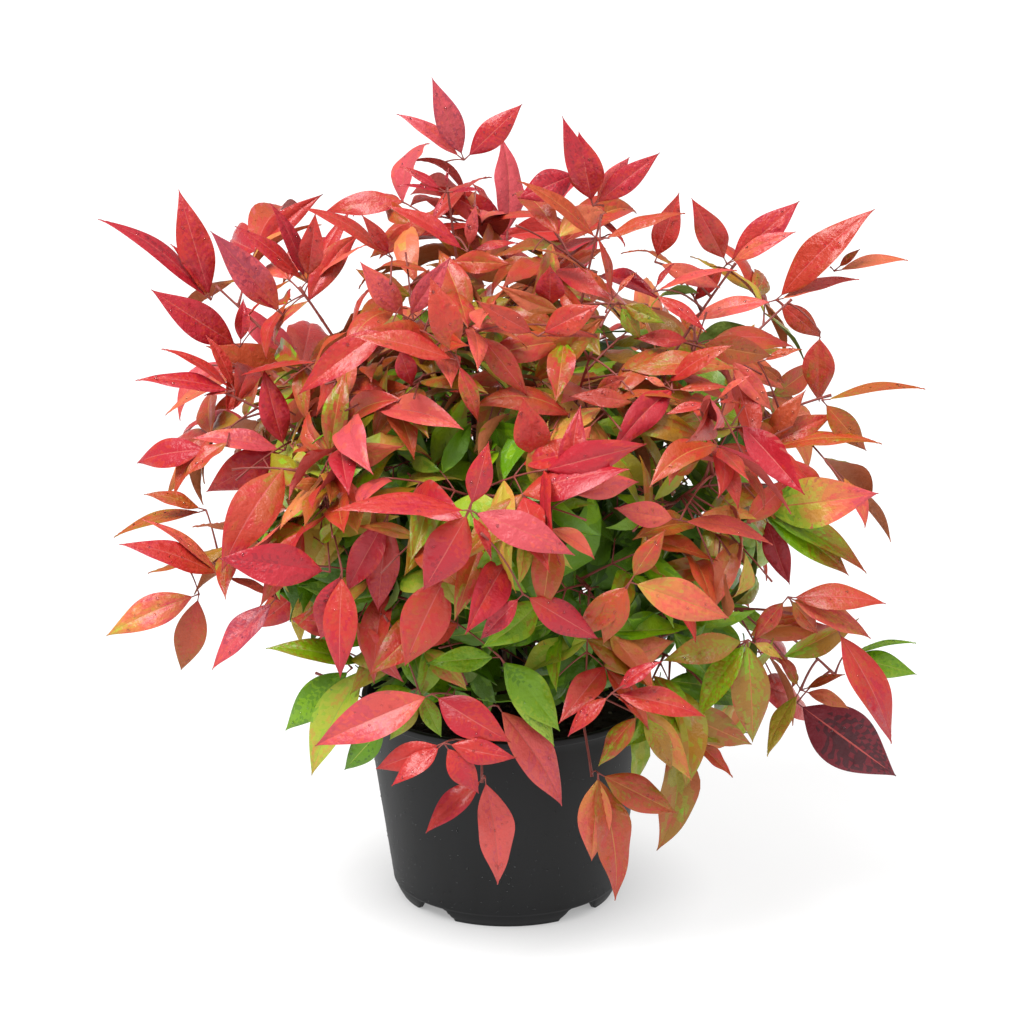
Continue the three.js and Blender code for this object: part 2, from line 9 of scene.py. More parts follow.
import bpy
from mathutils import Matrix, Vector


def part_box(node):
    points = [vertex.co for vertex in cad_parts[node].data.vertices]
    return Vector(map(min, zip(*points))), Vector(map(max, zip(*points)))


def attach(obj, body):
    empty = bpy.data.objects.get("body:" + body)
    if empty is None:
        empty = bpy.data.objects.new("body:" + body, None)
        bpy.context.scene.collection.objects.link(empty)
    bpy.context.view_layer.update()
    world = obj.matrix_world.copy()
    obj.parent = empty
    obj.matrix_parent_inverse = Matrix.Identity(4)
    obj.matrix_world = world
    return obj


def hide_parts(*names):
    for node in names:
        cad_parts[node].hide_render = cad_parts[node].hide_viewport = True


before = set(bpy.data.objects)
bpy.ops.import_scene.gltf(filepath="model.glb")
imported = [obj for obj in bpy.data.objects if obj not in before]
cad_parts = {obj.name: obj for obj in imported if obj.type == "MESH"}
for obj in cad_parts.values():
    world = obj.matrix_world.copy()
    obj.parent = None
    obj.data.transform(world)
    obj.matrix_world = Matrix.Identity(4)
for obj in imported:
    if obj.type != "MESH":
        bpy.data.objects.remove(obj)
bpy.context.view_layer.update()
print("frame:", len(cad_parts), "nodes")

# %% [markdown]
# Blender counts in metres, but a shrub of this size is easier to think of in millimetres. So every
# size below is in millimetres from the foot of the pot's axis, and one helper further down turns them
# into the frame's metres.

# %% Libraries and units
import math

import bpy
import numpy as np

MM = 0.001
pot_low, pot_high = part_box("pot")
POT_FOOT = np.array([(pot_low.x + pot_high.x) / 2, (pot_low.y + pot_high.y) / 2, 0.0])
print("pot axis at", POT_FOOT.round(4), "pot height", round(pot_high.z, 4))

# %% [markdown]
# ## The bones of the plant
# Canes rise from the mix and arch outwards, boughs leave the canes, and each mass of foliage hangs
# on a stem that runs on from the end of its limb. The rule that grew the solids is written again
# here with the same numbers, so that the finer twigs follow the same curves. First come the small
# helpers: a seeded random generator, polar places, and vectors of length one. Blender and numpy have
# generators of their own, but this one is short enough to be the same in both scripts.

# %% Random numbers and vectors
RANDOM_STATES, RANDOM_FACTOR, RANDOM_SHIFT = 2**32, 1664525, 1013904223
UP = np.array([0.0, 0.0, 1.0])
FRONT = np.array([0.0, -1.0, 0.0])


def seeded_random(seed):
    state = seed % RANDOM_STATES

    def draw():
        nonlocal state
        state = (state * RANDOM_FACTOR + RANDOM_SHIFT) % RANDOM_STATES
        return state / RANDOM_STATES

    return draw


def lerp(a, b, share):
    return a + (b - a) * share


def spread(size, draw):
    return lerp(-size, size, draw())


def unit(vector):
    return vector / np.linalg.norm(vector)


def square_to(direction, axis):
    return unit(direction - axis * (direction @ axis))


def polar(bearing, out, up):
    angle = math.radians(bearing)
    return np.array([out * math.cos(angle), out * math.sin(angle), up])


def turned(vector, axis, degrees):
    angle = math.radians(degrees)
    along = axis * (axis @ vector) * (1 - math.cos(angle))
    return vector * math.cos(angle) + np.cross(axis, vector) * math.sin(angle) + along


trial = seeded_random(1)
print("seed 1 begins with", [round(trial(), 3) for _ in range(3)])

# %% [markdown]
# A cane is one cubic curve and a twig is one quadratic curve. One small class covers both: it gives
# points and directions at any share of the way, and the length.

# %% Curves
LENGTH_STEPS = 60


class Curve:
    def __init__(self, *controls):
        self.controls = [np.asarray(point, float) for point in controls]

    def at(self, share):
        points = self.controls
        while len(points) > 1:
            points = [lerp(a, b, share) for a, b in zip(points, points[1:])]
        return points[0]

    def heading(self, share):
        near = 1e-4
        return unit(self.at(min(share + near, 1)) - self.at(max(share - near, 0)))

    def many(self, count):
        shares = np.linspace(0, 1, count)[:, None]
        points = [np.repeat(point[None], count, 0) for point in self.controls]
        while len(points) > 1:
            points = [lerp(a, b, shares) for a, b in zip(points, points[1:])]
        return points[0]

    def length(self):
        return float(np.linalg.norm(np.diff(self.many(LENGTH_STEPS), axis=0), axis=1).sum())

    def stretch(self, start, end):
        """The part of the curve between two shares, as a curve of its own."""
        third = (end - start) / 3
        slope = Curve(*[3 * (b - a) for a, b in zip(self.controls, self.controls[1:])])
        first, last = self.at(start), self.at(end)
        return Curve(first, first + slope.at(start) * third, last - slope.at(end) * third, last)


quarter_bend = Curve((100, 0, 0), (100, 100, 0), (0, 100, 0))
print("a twig that bends from one axis to the next is", round(quarter_bend.length()), "mm long")

# %% [markdown]
# Now the same driving sizes as in the solids. Each row of the table is a mass of foliage: its
# furthest tip as a bearing round the pot (0 is to the right, -90 to the front), the distance out and
# the height, the lift of its arch, and whether it ends a cane. The last three are used later: the
# colour that the mass has turned, how full of leaves it is, and how large they are.

# %% Driving sizes
CLEARANCE = 0.3
SOIL_TOP = 135.0
HEART_HEIGHT = 290.0
HEART = np.array([0.0, 0.0, HEART_HEIGHT])
CLUMP = {"inner_radius": 8, "per_out": 0.085, "per_drop": 0.03, "top_height": 580, "ring_from": 100}
CANE = {"foot": 3.6, "tip": 1.7, "flare": 1.5, "fade": 18, "split": 0.62, "rings": 7}
CANE_BEND = {"straight_up": 0.34, "out": 0.52, "up": 0.7}
BOUGH = {"foot": 1.9, "tip": 1.25, "flare": 0, "fade": 1, "split": 0.4, "rings": 5}
BOUGH_BEND = {"reach_out": 45, "back": 0.35, "seat_low": 0.3, "seat_high": 0.92}
LOWEST_TIP, HIGHEST_TIP = 40, 480
FIRST_SEED, SEED_STEP = 1000, 77

MASSES = [
    ("top_left", -172, 50, 580, 0, True, "crimson", 0.3, 1.05),
    ("top_right", -10, 80, 553, 0, True, "crimson", 0.36, 1.1),
    ("upper_right", 2, 196, 505, 10, True, "rose", 0.36, 1.1),
    ("upper_left", -170, 186, 505, 10, True, "crimson", 0.36, 1.1),
    ("upper_front_left", -130, 130, 482, 15, True, "rose", 1.0, 1.12),
    ("upper_front_right", -54, 130, 476, 15, True, "rose", 1.0, 1.12),
    ("upper_back", 90, 150, 505, 10, True, "red", 1.0, 1.05),
    ("high_right", 16, 284, 458, 30, False, "rose", 0.2, 1.05),
    ("high_left", 168, 284, 482, 20, False, "crimson", 0.14, 1.0),
    ("middle_right", -8, 290, 372, 40, False, "coral", 0.24, 1.0),
    ("middle_left", -178, 264, 374, 40, False, "red", 0.3, 1.0),
    ("middle_front", -94, 226, 332, 50, False, "two_tone", 0.8, 1.15),
    ("middle_front_right", -36, 236, 372, 30, True, "rose", 1.0, 1.08),
    ("middle_front_left", -146, 236, 376, 30, True, "rose", 0.85, 1.08),
    ("middle_back", 92, 250, 345, 40, False, "rose", 1.0, 1.0),
    ("middle_back_right", 42, 256, 376, 30, True, "coral", 1.0, 1.0),
    ("middle_back_left", 140, 256, 376, 30, True, "rose", 1.0, 1.0),
    ("low_front_left", -118, 206, 216, 60, False, "two_tone", 0.6, 1.1),
    ("low_front_right", -68, 208, 220, 60, False, "two_tone", 0.6, 1.1),
    ("low_right", -24, 272, 205, 60, False, "olive", 0.42, 1.0),
    ("low_left", -165, 272, 222, 50, False, "rose", 0.22, 1.05),
    ("low_back_right", 55, 232, 160, 80, False, "coral", 1.0, 1.0),
    ("low_back_left", 130, 232, 160, 80, False, "rose", 0.9, 1.0),
    ("hanging_right", -6, 268, 112, 90, False, "wine", 0.2, 1.3),
    ("hanging_front_right", -40, 212, 132, 90, False, "olive", 0.6, 1.05),
    ("apron_right", -64, 152, 44, 120, False, "amber", 0.06, 1.05),
    ("apron_front", -96, 150, 58, 110, False, "scarlet", 0.12, 1.2),
    ("apron_left", -146, 186, 140, 80, False, "green", 0.05, 1.15),
]
HEADINGS = ("name", "bearing", "out", "up", "lift", "on_cane", "hue", "fullness", "leaf_size")
MASSES = [dict(zip(HEADINGS, row)) for row in MASSES]
for mass in MASSES:
    mass["tip"] = polar(mass["bearing"], mass["out"], mass["up"])
print(len(MASSES), "masses of foliage")

# %% [markdown]
# A cane starts upright in the mix and arches out to the tip of its mass. A bough leaves the nearest of
# the outer canes squarely, just clear of its surface, and arches to its own tip. The higher that tip
# is, the higher up the cane the bough has its seat.

# %% Canes and boughs as curves
def cane_arch(mass):
    drop = CLUMP["top_height"] - mass["up"]
    foot_out = CLUMP["inner_radius"] + CLUMP["per_out"] * mass["out"] + CLUMP["per_drop"] * drop
    foot = polar(mass["bearing"], foot_out, SOIL_TOP + CLEARANCE)
    lower = foot + UP * CANE_BEND["straight_up"] * (mass["up"] - foot[2])
    bend_height = lerp(foot[2], mass["up"], CANE_BEND["up"]) + mass["lift"]
    upper = polar(mass["bearing"], lerp(foot_out, mass["out"], CANE_BEND["out"]), bend_height)
    return Curve(foot, lower, upper, mass["tip"])


def radius_at(sizes, share):
    return lerp(sizes["foot"], sizes["tip"], share) + sizes["flare"] * math.exp(-share * sizes["fade"])


def place_on(cane, share):
    """A place on the straight lengths that the solid cane is made of."""
    lengths = CANE["rings"] - 1
    below = min(int(share * lengths), lengths - 1)
    part = share * lengths - below
    ends = [cane["arch"].at((below + k) / lengths * CANE["split"]) for k in (0, 1)]
    radii = [radius_at(CANE, (below + k) / lengths) for k in (0, 1)]
    return lerp(*ends, part), unit(ends[1] - ends[0]), lerp(*radii, part)


def bough_arch(mass, cane):
    height = (mass["up"] - LOWEST_TIP) / (HIGHEST_TIP - LOWEST_TIP)
    seat = lerp(BOUGH_BEND["seat_low"], BOUGH_BEND["seat_high"], min(max(height, 0), 1))
    point, along, radius = place_on(cane, seat)
    away = square_to(mass["tip"] - point, along)
    foot = point + away * (radius + CLEARANCE)
    upper = lerp(mass["tip"], foot, BOUGH_BEND["back"]) + UP * mass["lift"]
    return Curve(foot, foot + away * BOUGH_BEND["reach_out"], upper, mass["tip"])


def bearing_gap(a, b):
    turn = abs(a - b) % 360
    return min(turn, 360 - turn)


canes = [{"mass": m, "arch": cane_arch(m), "sizes": CANE} for m in MASSES if m["on_cane"]]
ring_canes = [cane for cane in canes if cane["mass"]["out"] > CLUMP["ring_from"]]
boughs = []
for mass in MASSES:
    if mass["on_cane"]:
        continue
    gaps = [bearing_gap(cane["mass"]["bearing"], mass["bearing"]) for cane in ring_canes]
    nearest = ring_canes[gaps.index(min(gaps))]
    boughs.append({"mass": mass, "arch": bough_arch(mass, nearest), "sizes": BOUGH})
limbs = canes + boughs
print(len(canes), "canes and", len(boughs), "boughs")

# %% [markdown]
# ## The space that the leaves may use
# A leaf must not cross a limb, the pot or another leaf, and a mass keeps roughly to its own part of
# the crown, as its solid does. Each leaf is felt for at a few points, and these are compared with
# the points already taken. Testing whole meshes against each other would be exact and far slower.

# %% Room in the crown
POT = {
    "height": 145,
    "rim_radius": 100,
    "step_radius": 80,
    "step_height": 10,
    "foot_radius": 75,
}
SITE_SHARE = 0.76
REACH_MARGIN = 2.0  # how far past its tip's height and distance out a mass may spread
LEAST_OUT, LEAST_RISE = 150, 110
INTERLOCK = {"sprays": 16.0, "shoots": 90.0}  # how far leaves may reach in among the next mass's
INNER_ROOM = {"out": 178, "up": 150}  # half the size of the room round the heart for inner leaves
POT_MARGIN = 3.0
LIMB_MARGIN = 2.2
LIMB_POINT_STEP = 4
NEARLY_NOTHING = 1e-6  # keeps a division by a length from failing
sites = np.array([limb["arch"].at(SITE_SHARE) for limb in limbs])


def pot_radius_at(height):
    slope = (POT["rim_radius"] - POT["step_radius"]) / (POT["height"] - POT["step_height"])
    return POT["step_radius"] + slope * (height - POT["step_height"])


limb_points = []
limb_radii = []
for limb in limbs:
    stretch = limb["arch"].stretch(0, limb["sizes"]["split"])
    count = int(stretch.length() / LIMB_POINT_STEP) + 2
    limb_points.extend(stretch.many(count))
    limb_radii.extend(radius_at(limb["sizes"], share) for share in np.linspace(0, 1, count))
limb_points = np.array(limb_points)
limb_radii = np.array(limb_radii)
print(len(limb_points), "points along the bare limbs")

# %% [markdown]
# A mass keeps to the side of its neighbours where its own middle is nearer, give or take how far the
# sprays may interlock. It stays within the distance and the height of its furthest tip, off the pot
# and off the limbs. Shoots inside the crown also stay in a room round its heart.

# %% Tests of room
def in_space(index, points, interlock):
    mass = limbs[index]["mass"]
    out = np.hypot(points[:, 0], points[:, 1])
    height = points[:, 2]
    if (out > max(mass["out"], LEAST_OUT) + REACH_MARGIN).any():
        return False
    if (height > max(mass["up"], HEART_HEIGHT + LEAST_RISE) + REACH_MARGIN).any():
        return False
    if (height < min(mass["up"], HEART_HEIGHT - LEAST_RISE) - REACH_MARGIN).any():
        return False
    low = height < POT["height"] + POT_MARGIN
    if (low & (out < pot_radius_at(height) + POT_MARGIN)).any():
        return False
    own = sites[index]
    others = np.delete(sites, index, 0)
    apart = own - others
    borders = (own + others) / 2
    depth = ((points[:, None] - borders) * apart).sum(2) / np.linalg.norm(apart, axis=1)
    return bool((depth > -interlock).all())


def in_inner_room(points):
    out = np.hypot(points[:, 0], points[:, 1]) / INNER_ROOM["out"]
    up = (points[:, 2] - HEART_HEIGHT) / INNER_ROOM["up"]
    return bool((out**2 + up**2 < 1).all())


def clear_of_limbs(points):
    gaps = np.linalg.norm(points[:, None] - limb_points, axis=2)
    return bool((gaps > limb_radii + LIMB_MARGIN).all())


print("the heart of the crown is in the inner room:", in_inner_room(HEART[None]))

# %% [markdown]
# ## A leaflet
# A leaflet of this shrub is a narrow ellipse with a wedge at its foot and a long drawn-out tip. It
# is folded a little along its midrib, its margins curl, its tip hangs, and its side veins make soft
# ridges. A flat picture on a card would show none of that from the side, so each leaflet is a small
# grid of faces. The rows slant forward from the midrib, as the side veins do. The same function
# gives the few points for the test of room and the full grid for the mesh.

# %% The shape of a leaflet
LEAF = {
    "length": 63,
    "length_spread": 0.2,
    "size_at_top": 1.02,
    "width_share": 0.42,
    "width_share_at_top": 0.31,
    "narrowing_power": 1.5,
    "width_spread": 0.14,
    "thickness": 0.6,
    "widest_at": 0.42,
    "tip_power": 1.2,
    "sink_at_top": (-0.4, 0.25),
    "sink_at_foot": (0.0, 0.5),
    "turn_spread": 6,
    "extra_turn": 9,
    "tilt_spread": 16,
    "extra_tilt": 24,
    "slant": 0.1,
    "vein_height": 0.34,
    "bend_power": 1.4,  # the blade bends mostly towards its tip
    "margin_shift": 3,  # the two margins don't wave in step
    "edge_power": 3,  # how sharply the blade thins at its margins
}
OUTLINE_POWER = math.log(0.5) / math.log(LEAF["widest_at"])
BEND_STEPS = 16


def half_width(u):
    """The leaflet's half width along its midrib, as a share of its full half width."""
    outline = np.sin(np.pi * np.clip(u, 0, 1) ** OUTLINE_POWER)
    return np.maximum(outline, 0) ** LEAF["tip_power"]


def leaf_surface(leaf, u, v, ridge=0.0, side=0):
    """Points on a leaflet: u from root to tip, v from one margin (-1) to the other (1)."""
    steps = np.linspace(0, 1, BEND_STEPS + 1)
    pitch = leaf["rise"] - (leaf["rise"] + leaf["droop"]) * steps ** LEAF["bend_power"]
    middle = (pitch[1:] + pitch[:-1]) / 2
    forward = np.concatenate([[0], np.cumsum(np.cos(middle))]) / BEND_STEPS
    rise = np.concatenate([[0], np.cumsum(np.sin(middle))]) / BEND_STEPS
    x = np.interp(u, steps, forward) * leaf["length"]
    z = np.interp(u, steps, rise) * leaf["length"]
    lean = np.interp(u, steps, pitch)
    half = np.maximum(half_width(u) * leaf["width"], LEAF["thickness"]) / 2
    reach = np.abs(v)
    y = v * half * math.cos(leaf["fold"])
    lift = reach * half * math.sin(leaf["fold"]) - leaf["curl"] * reach**2 * half
    wave = np.sin(leaf["waves"] * u + LEAF["margin_shift"] * np.sign(v))
    lift = lift + leaf["wave"] * reach**2 * half * wave
    lift = lift + ridge + side * LEAF["thickness"] / 2 * (1 - reach ** LEAF["edge_power"])
    spin = leaf["twist"] * u
    across = y * np.cos(spin) - lift * np.sin(spin)
    above = y * np.sin(spin) + lift * np.cos(spin)
    across = across + leaf["sickle"] * leaf["length"] * u**2
    along_dir, normal_dir = leaf["along"], leaf["normal"]
    side_dir = np.cross(normal_dir, along_dir)
    x = x - above * np.sin(lean)
    z = z + above * np.cos(lean)
    return leaf["root"] + x[:, None] * along_dir + z[:, None] * normal_dir + across[:, None] * side_dir


FEEL_ALONG = [0.26, 0.4, 0.54, 0.68, 0.82, 0.95]
FEEL_ACROSS = [-0.85, 0, 0.85]
FEEL_U, FEEL_V = [places.ravel() for places in np.meshgrid(FEEL_ALONG, FEEL_ACROSS)]
print("a leaflet is felt for at", len(FEEL_U), "points")

# %% [markdown]
# ## Sprays
# A leaf of heavenly bamboo is compound: a stalk with a leaflet at its end, a pair just below it, and
# below that either another pair or side twigs that bear three leaflets each. The stalks and their
# leaflets come from the same seeds as the solids. All that is finer, such as side twigs and the bends
# of a blade, is drawn from a second seed, so that the first draws stay as they are.

# %% Leaves on a stalk
SPRAY = {
    "length": 66,
    "length_spread": 0.35,
    "per_mass": 18,
    "end_size": 1.05,
    "pair_shrink": 0.1,
    "pairs_from_end": [3, 36],
    "foot_bare": 9,
    "end_angle": 64,
    "pair_angle": 70,
    "open_at_foot": 80,
    "open_at_tip": 42,
    "last_share": 0.8,
    "first_share": 0.1,
    "sag": 0.14,
    "straight_share": 0.55,
    "size_range": (0.8, 1.22),
}
SIDE_TWIG = {"from_end": (28, 52), "angle": (48, 66), "length": 17, "longer": (0.8, 1.5), "size": 0.85}
GOLDEN_ANGLE, GOLDEN_SHARE = 137.5, 0.618
FACING = {"outward": 0.75, "up": 0.65, "front": 0.35, "stray": 0.6}
UPRIGHT = 0.9  # a heading with more rise than this counts as upright
LEAF_FORM = {  # the least and the most of each bend of a blade, and the power of its draw
    "rise": (0.0, 0.35, 1),
    "droop": (0.1, 1.25, 1.4),
    "fold": (0.1, 0.6, 1),
    "curl": (0.0, 0.45, 1),
    "wave": (0.0, 0.18, 1),
    "waves": (8, 14, 1),
    "twist": (-0.9, 0.9, 1),
    "sickle": (-0.1, 0.1, 1),
}


def drawn_form(bends, draw):
    return {name: lerp(least, most, draw() ** power) for name, (least, most, power) in bends.items()}


def width_share_at(height):
    """Leaflets are narrower towards the top of the plant."""
    return lerp(LEAF["width_share"], LEAF["width_share_at_top"], height ** LEAF["narrowing_power"])


def height_share(point):
    return min(max(point[2] / CLUMP["top_height"], 0), 1)


def start_of_turn(heading):
    return square_to(FRONT if abs(heading[2]) > UPRIGHT else UP, heading)


def facing_from(point, extra):
    """Blades turn their faces out, up and a little forward, with no two sprays quite alike."""
    outward = unit(point - HEART)
    stray = np.array([spread(FACING["stray"], extra) for _ in range(3)])
    return unit(outward * FACING["outward"] + UP * FACING["up"] + FRONT * FACING["front"] + stray)


def leaf_on(stalk, share, angle, size, facing, draw, extra):
    heading = stalk.heading(share)
    normal = square_to(facing, heading)
    across = np.cross(normal, heading)
    turn = angle + spread(LEAF["turn_spread"], draw) + spread(LEAF["extra_turn"], extra)
    height = height_share(stalk.at(share))
    least, most = [lerp(*ends, height) for ends in zip(LEAF["sink_at_foot"], LEAF["sink_at_top"])]
    sink = lerp(least, most, extra())
    along = heading * math.cos(math.radians(turn)) + across * math.sin(math.radians(turn)) - UP * sink
    along = unit(along)
    tilt = spread(LEAF["tilt_spread"], draw) + spread(LEAF["extra_tilt"], extra)
    size *= lerp(1, LEAF["size_at_top"], height)
    length = LEAF["length"] * size * (1 + spread(LEAF["length_spread"], draw))
    return {
        "root": stalk.at(share),
        "along": along,
        "normal": turned(square_to(normal, along), along, tilt),
        "length": length,
        "width": length * width_share_at(height) * (1 + spread(LEAF["width_spread"], draw)),
        **drawn_form(LEAF_FORM, extra),
    }


def leaves_along(stalk, facing, draw, extra, scale=1.0):
    length = stalk.length()
    scale = scale * lerp(*SPRAY["size_range"], extra())
    leaves = [leaf_on(stalk, 1, 0, SPRAY["end_size"] * scale, facing, draw, extra)]
    for pair, from_end in enumerate(SPRAY["pairs_from_end"]):
        angle = SPRAY["pair_angle"] if pair else SPRAY["end_angle"]
        share = max(1 - from_end / length, 0)
        size = (1 - SPRAY["pair_shrink"] * pair) * scale
        sides = [leaf_on(stalk, share, turn, size, facing, draw, extra) for turn in (angle, -angle)]
        if share * length > SPRAY["foot_bare"]:
            leaves.extend(sides)
    return leaves


print("a blade has", len(LEAF_FORM), "bends that are drawn")

# %% [markdown]
# A stalk leaves its stem straight and then sags under its leaflets, which one quadratic curve shows
# well enough. Its side twigs are stalks too, only shorter, and they stand in pairs.

# %% A stalk and its side twigs
def stalk_from(base, along, length):
    middle = base + along * SPRAY["straight_share"] * length
    end = base + along * length - UP * SPRAY["sag"] * length
    return Curve(base, middle, end)


def side_twigs(stalk, facing, extra):
    """Short twigs off the lower part of a stalk, each with three leaflets."""
    twigs = []
    length = stalk.length()
    for from_end in SIDE_TWIG["from_end"]:
        share = 1 - from_end / length
        if share * length < SPRAY["foot_bare"]:
            continue
        heading = stalk.heading(share)
        across = np.cross(square_to(facing, heading), heading)
        for side in (1, -1):
            turn = math.radians(lerp(*SIDE_TWIG["angle"], extra()))
            along = unit(heading * math.cos(turn) + across * side * math.sin(turn))
            length_here = SIDE_TWIG["length"] * lerp(*SIDE_TWIG["longer"], extra())
            twig = stalk_from(stalk.at(share), along, length_here)
            leaves = leaves_along(twig, facing, extra, extra, SIDE_TWIG["size"])
            twigs.append({"stalk": twig, "leaves": leaves})
    return twigs


trial_stalk = stalk_from(HEART, -FRONT, SPRAY["length"])
print("a level stalk sags by", round(HEART_HEIGHT - trial_stalk.at(1)[2], 1), "mm")


# %% [markdown]
# ## Growing each mass
# The stem of a mass runs on from its limb and stops a leaflet's length short of the furthest tip.
# Its own leaflets come first, then stalks down the stem, each turned by the golden angle from the
# last one. The solids stop there. Here more stalks also leave the bare length of the limb, because
# a real crown is leafy inside as well, though its inner leaves are greener.

# %% Grow the sprays
INNER_SHOOTS = {"cane": 26, "bough": 10}
INNER_SHOOT = {"from": 0.12, "outward": (-0.5, 1.2), "upward": 0.35, "length": (40, 130), "size": 1.1}
LEADING = {"reach": 1.05, "droop": 0.3, "leaflets": 3}
STEM_STEP, SHORTEST_STEM = 0.01, 0.05
AIRY_LAST_SHARE = 0.4  # where the thinnest mass stops bearing stalks along its stem
AIRY_BELOW = 0.6  # the fullness under which a stem ends in three leaflets alone
FINE_SEED = 50000


def stem_of(limb):
    arch = limb["arch"]
    end = 1.0
    while np.linalg.norm(arch.at(end) - limb["mass"]["tip"]) < LEAF["length"] * LEADING["reach"]:
        end -= STEM_STEP
    start = limb["sizes"]["split"] + CLEARANCE / arch.length()
    return arch.stretch(start, max(end, start + SHORTEST_STEM))


def grow_mass(limb, index):
    draw = seeded_random(FIRST_SEED + SEED_STEP * index)
    extra = seeded_random(FINE_SEED + SEED_STEP * index)
    stem = stem_of(limb)
    facing = facing_from(stem.at(1), extra)
    leaf_size = limb["mass"]["leaf_size"]
    leading = leaves_along(stem, facing, draw, extra, leaf_size)
    to_tip = limb["mass"]["tip"] - leading[0]["root"]
    leading[0]["along"] = unit(to_tip)
    leading[0]["normal"] = square_to(leading[0]["normal"], leading[0]["along"])
    leading[0]["droop"] = LEADING["droop"]
    if limb["mass"]["fullness"] < AIRY_BELOW:
        leading = leading[: LEADING["leaflets"]]
    sprays = [{"stalk": None, "leaves": leading, "twigs": []}]
    roll = 360 * draw()
    last_share = lerp(AIRY_LAST_SHARE, SPRAY["last_share"], limb["mass"]["fullness"])
    for k in range(SPRAY["per_mass"]):
        share = lerp(last_share, SPRAY["first_share"], (k * GOLDEN_SHARE) % 1)
        heading = stem.heading(share)
        side = turned(start_of_turn(heading), heading, roll)
        opening = math.radians(lerp(SPRAY["open_at_foot"], SPRAY["open_at_tip"], share))
        along = heading * math.cos(opening) + side * math.sin(opening)
        length = SPRAY["length"] * (1 + spread(SPRAY["length_spread"], draw))
        stalk = stalk_from(stem.at(share), along, length)
        spray_faces = facing_from(stalk.at(1), extra)
        leaves = leaves_along(stalk, spray_faces, draw, extra, leaf_size)
        twigs = side_twigs(stalk, spray_faces, extra)
        sprays.append({"stalk": stalk, "leaves": leaves, "twigs": twigs})
        roll += GOLDEN_ANGLE
    shoots = inner_shoots(limb, extra)
    return {"index": index, "limb": limb, "stem": stem, "sprays": sprays, "shoots": shoots}


def inner_shoots(limb, extra):
    kind = "cane" if limb["mass"]["on_cane"] else "bough"
    split = limb["sizes"]["split"]
    roll = 360 * extra()
    shoots = []
    for k in range(INNER_SHOOTS[kind]):
        share = lerp(INNER_SHOOT["from"], 1, (k * GOLDEN_SHARE) % 1) * split
        base = limb["arch"].at(share)
        heading = limb["arch"].heading(share)
        side = turned(start_of_turn(heading), heading, roll)
        outward = unit(base * np.array([1, 1, 0]) + NEARLY_NOTHING)
        outward = outward * lerp(*INNER_SHOOT["outward"], extra())
        along = unit(side + outward + heading * INNER_SHOOT["upward"])
        stalk = stalk_from(base, along, lerp(*INNER_SHOOT["length"], extra()))
        facing = facing_from(stalk.at(1), extra)
        leaves = leaves_along(stalk, facing, extra, extra, INNER_SHOOT["size"])
        shoots.append({"stalk": stalk, "leaves": leaves, "twigs": side_twigs(stalk, facing, extra)})
        roll += GOLDEN_ANGLE
    return shoots


grown = [grow_mass(limb, index) for index, limb in enumerate(limbs)]
print(sum(len(g["sprays"] + g["shoots"]) for g in grown), "sprays to try")

# %% [markdown]
# ## The sprays that stand out
# The rule alone gives a crown of the right kind, but not this very plant. The sprays that stand out
# at its front and on its outline are placed one by one, where the camera sees them, and each is
# carried by its mass like all the others. For that the camera's place is settled first, with two
# helpers: one goes from a column and row of the view to a place in space, the other goes back.

# %% The view
FRAME_SIZE = 1024
CAMERA = {"x": 3.5, "y": -2393, "z": 1016, "pitch_down": 17.18, "pixels_per_unit": 3645}
CAMERA_PLACE = np.array([CAMERA["x"], CAMERA["y"], CAMERA["z"]])
PITCH = math.radians(CAMERA["pitch_down"])


def seen_at(column, row, depth):
    """The place at a depth behind the pot's axis that lies at a column and row of the view."""
    right = (column - FRAME_SIZE / 2) / CAMERA["pixels_per_unit"]
    up = (FRAME_SIZE / 2 - row) / CAMERA["pixels_per_unit"]
    back = math.cos(PITCH) + up * math.sin(PITCH)
    ray = np.array([right, back, up * math.cos(PITCH) - math.sin(PITCH)])
    return CAMERA_PLACE + ray * (depth - CAMERA_PLACE[1]) / back


def where_seen(points):
    """Column, row and distance of places in the view."""
    offset = np.asarray(points) - CAMERA_PLACE
    away = offset[:, 1] * math.cos(PITCH) - offset[:, 2] * math.sin(PITCH)
    up = offset[:, 1] * math.sin(PITCH) + offset[:, 2] * math.cos(PITCH)
    scale = CAMERA["pixels_per_unit"] / away
    return np.stack([FRAME_SIZE / 2 + offset[:, 0] * scale, FRAME_SIZE / 2 - up * scale, away], 1)


print("the heart of the crown is seen at", where_seen(HEART[None])[0, :2].round())

# %% [markdown]
# Each row below is one show spray: its mass, how far behind the pot's axis it lies in millimetres, how
# far its leaflets have turned on the scale of colours below, the column and row of its node in a
# frame of 1024, and its tips. A tip also has a third number, the width that shows as a share of the
# length, which says how far the blade is turned from the camera. Two numbers for the turning are for
# a leaflet that is greener or redder at its base than at its tip. The rows go round the crown, from
# the top to the right, then down the front, and to the left.

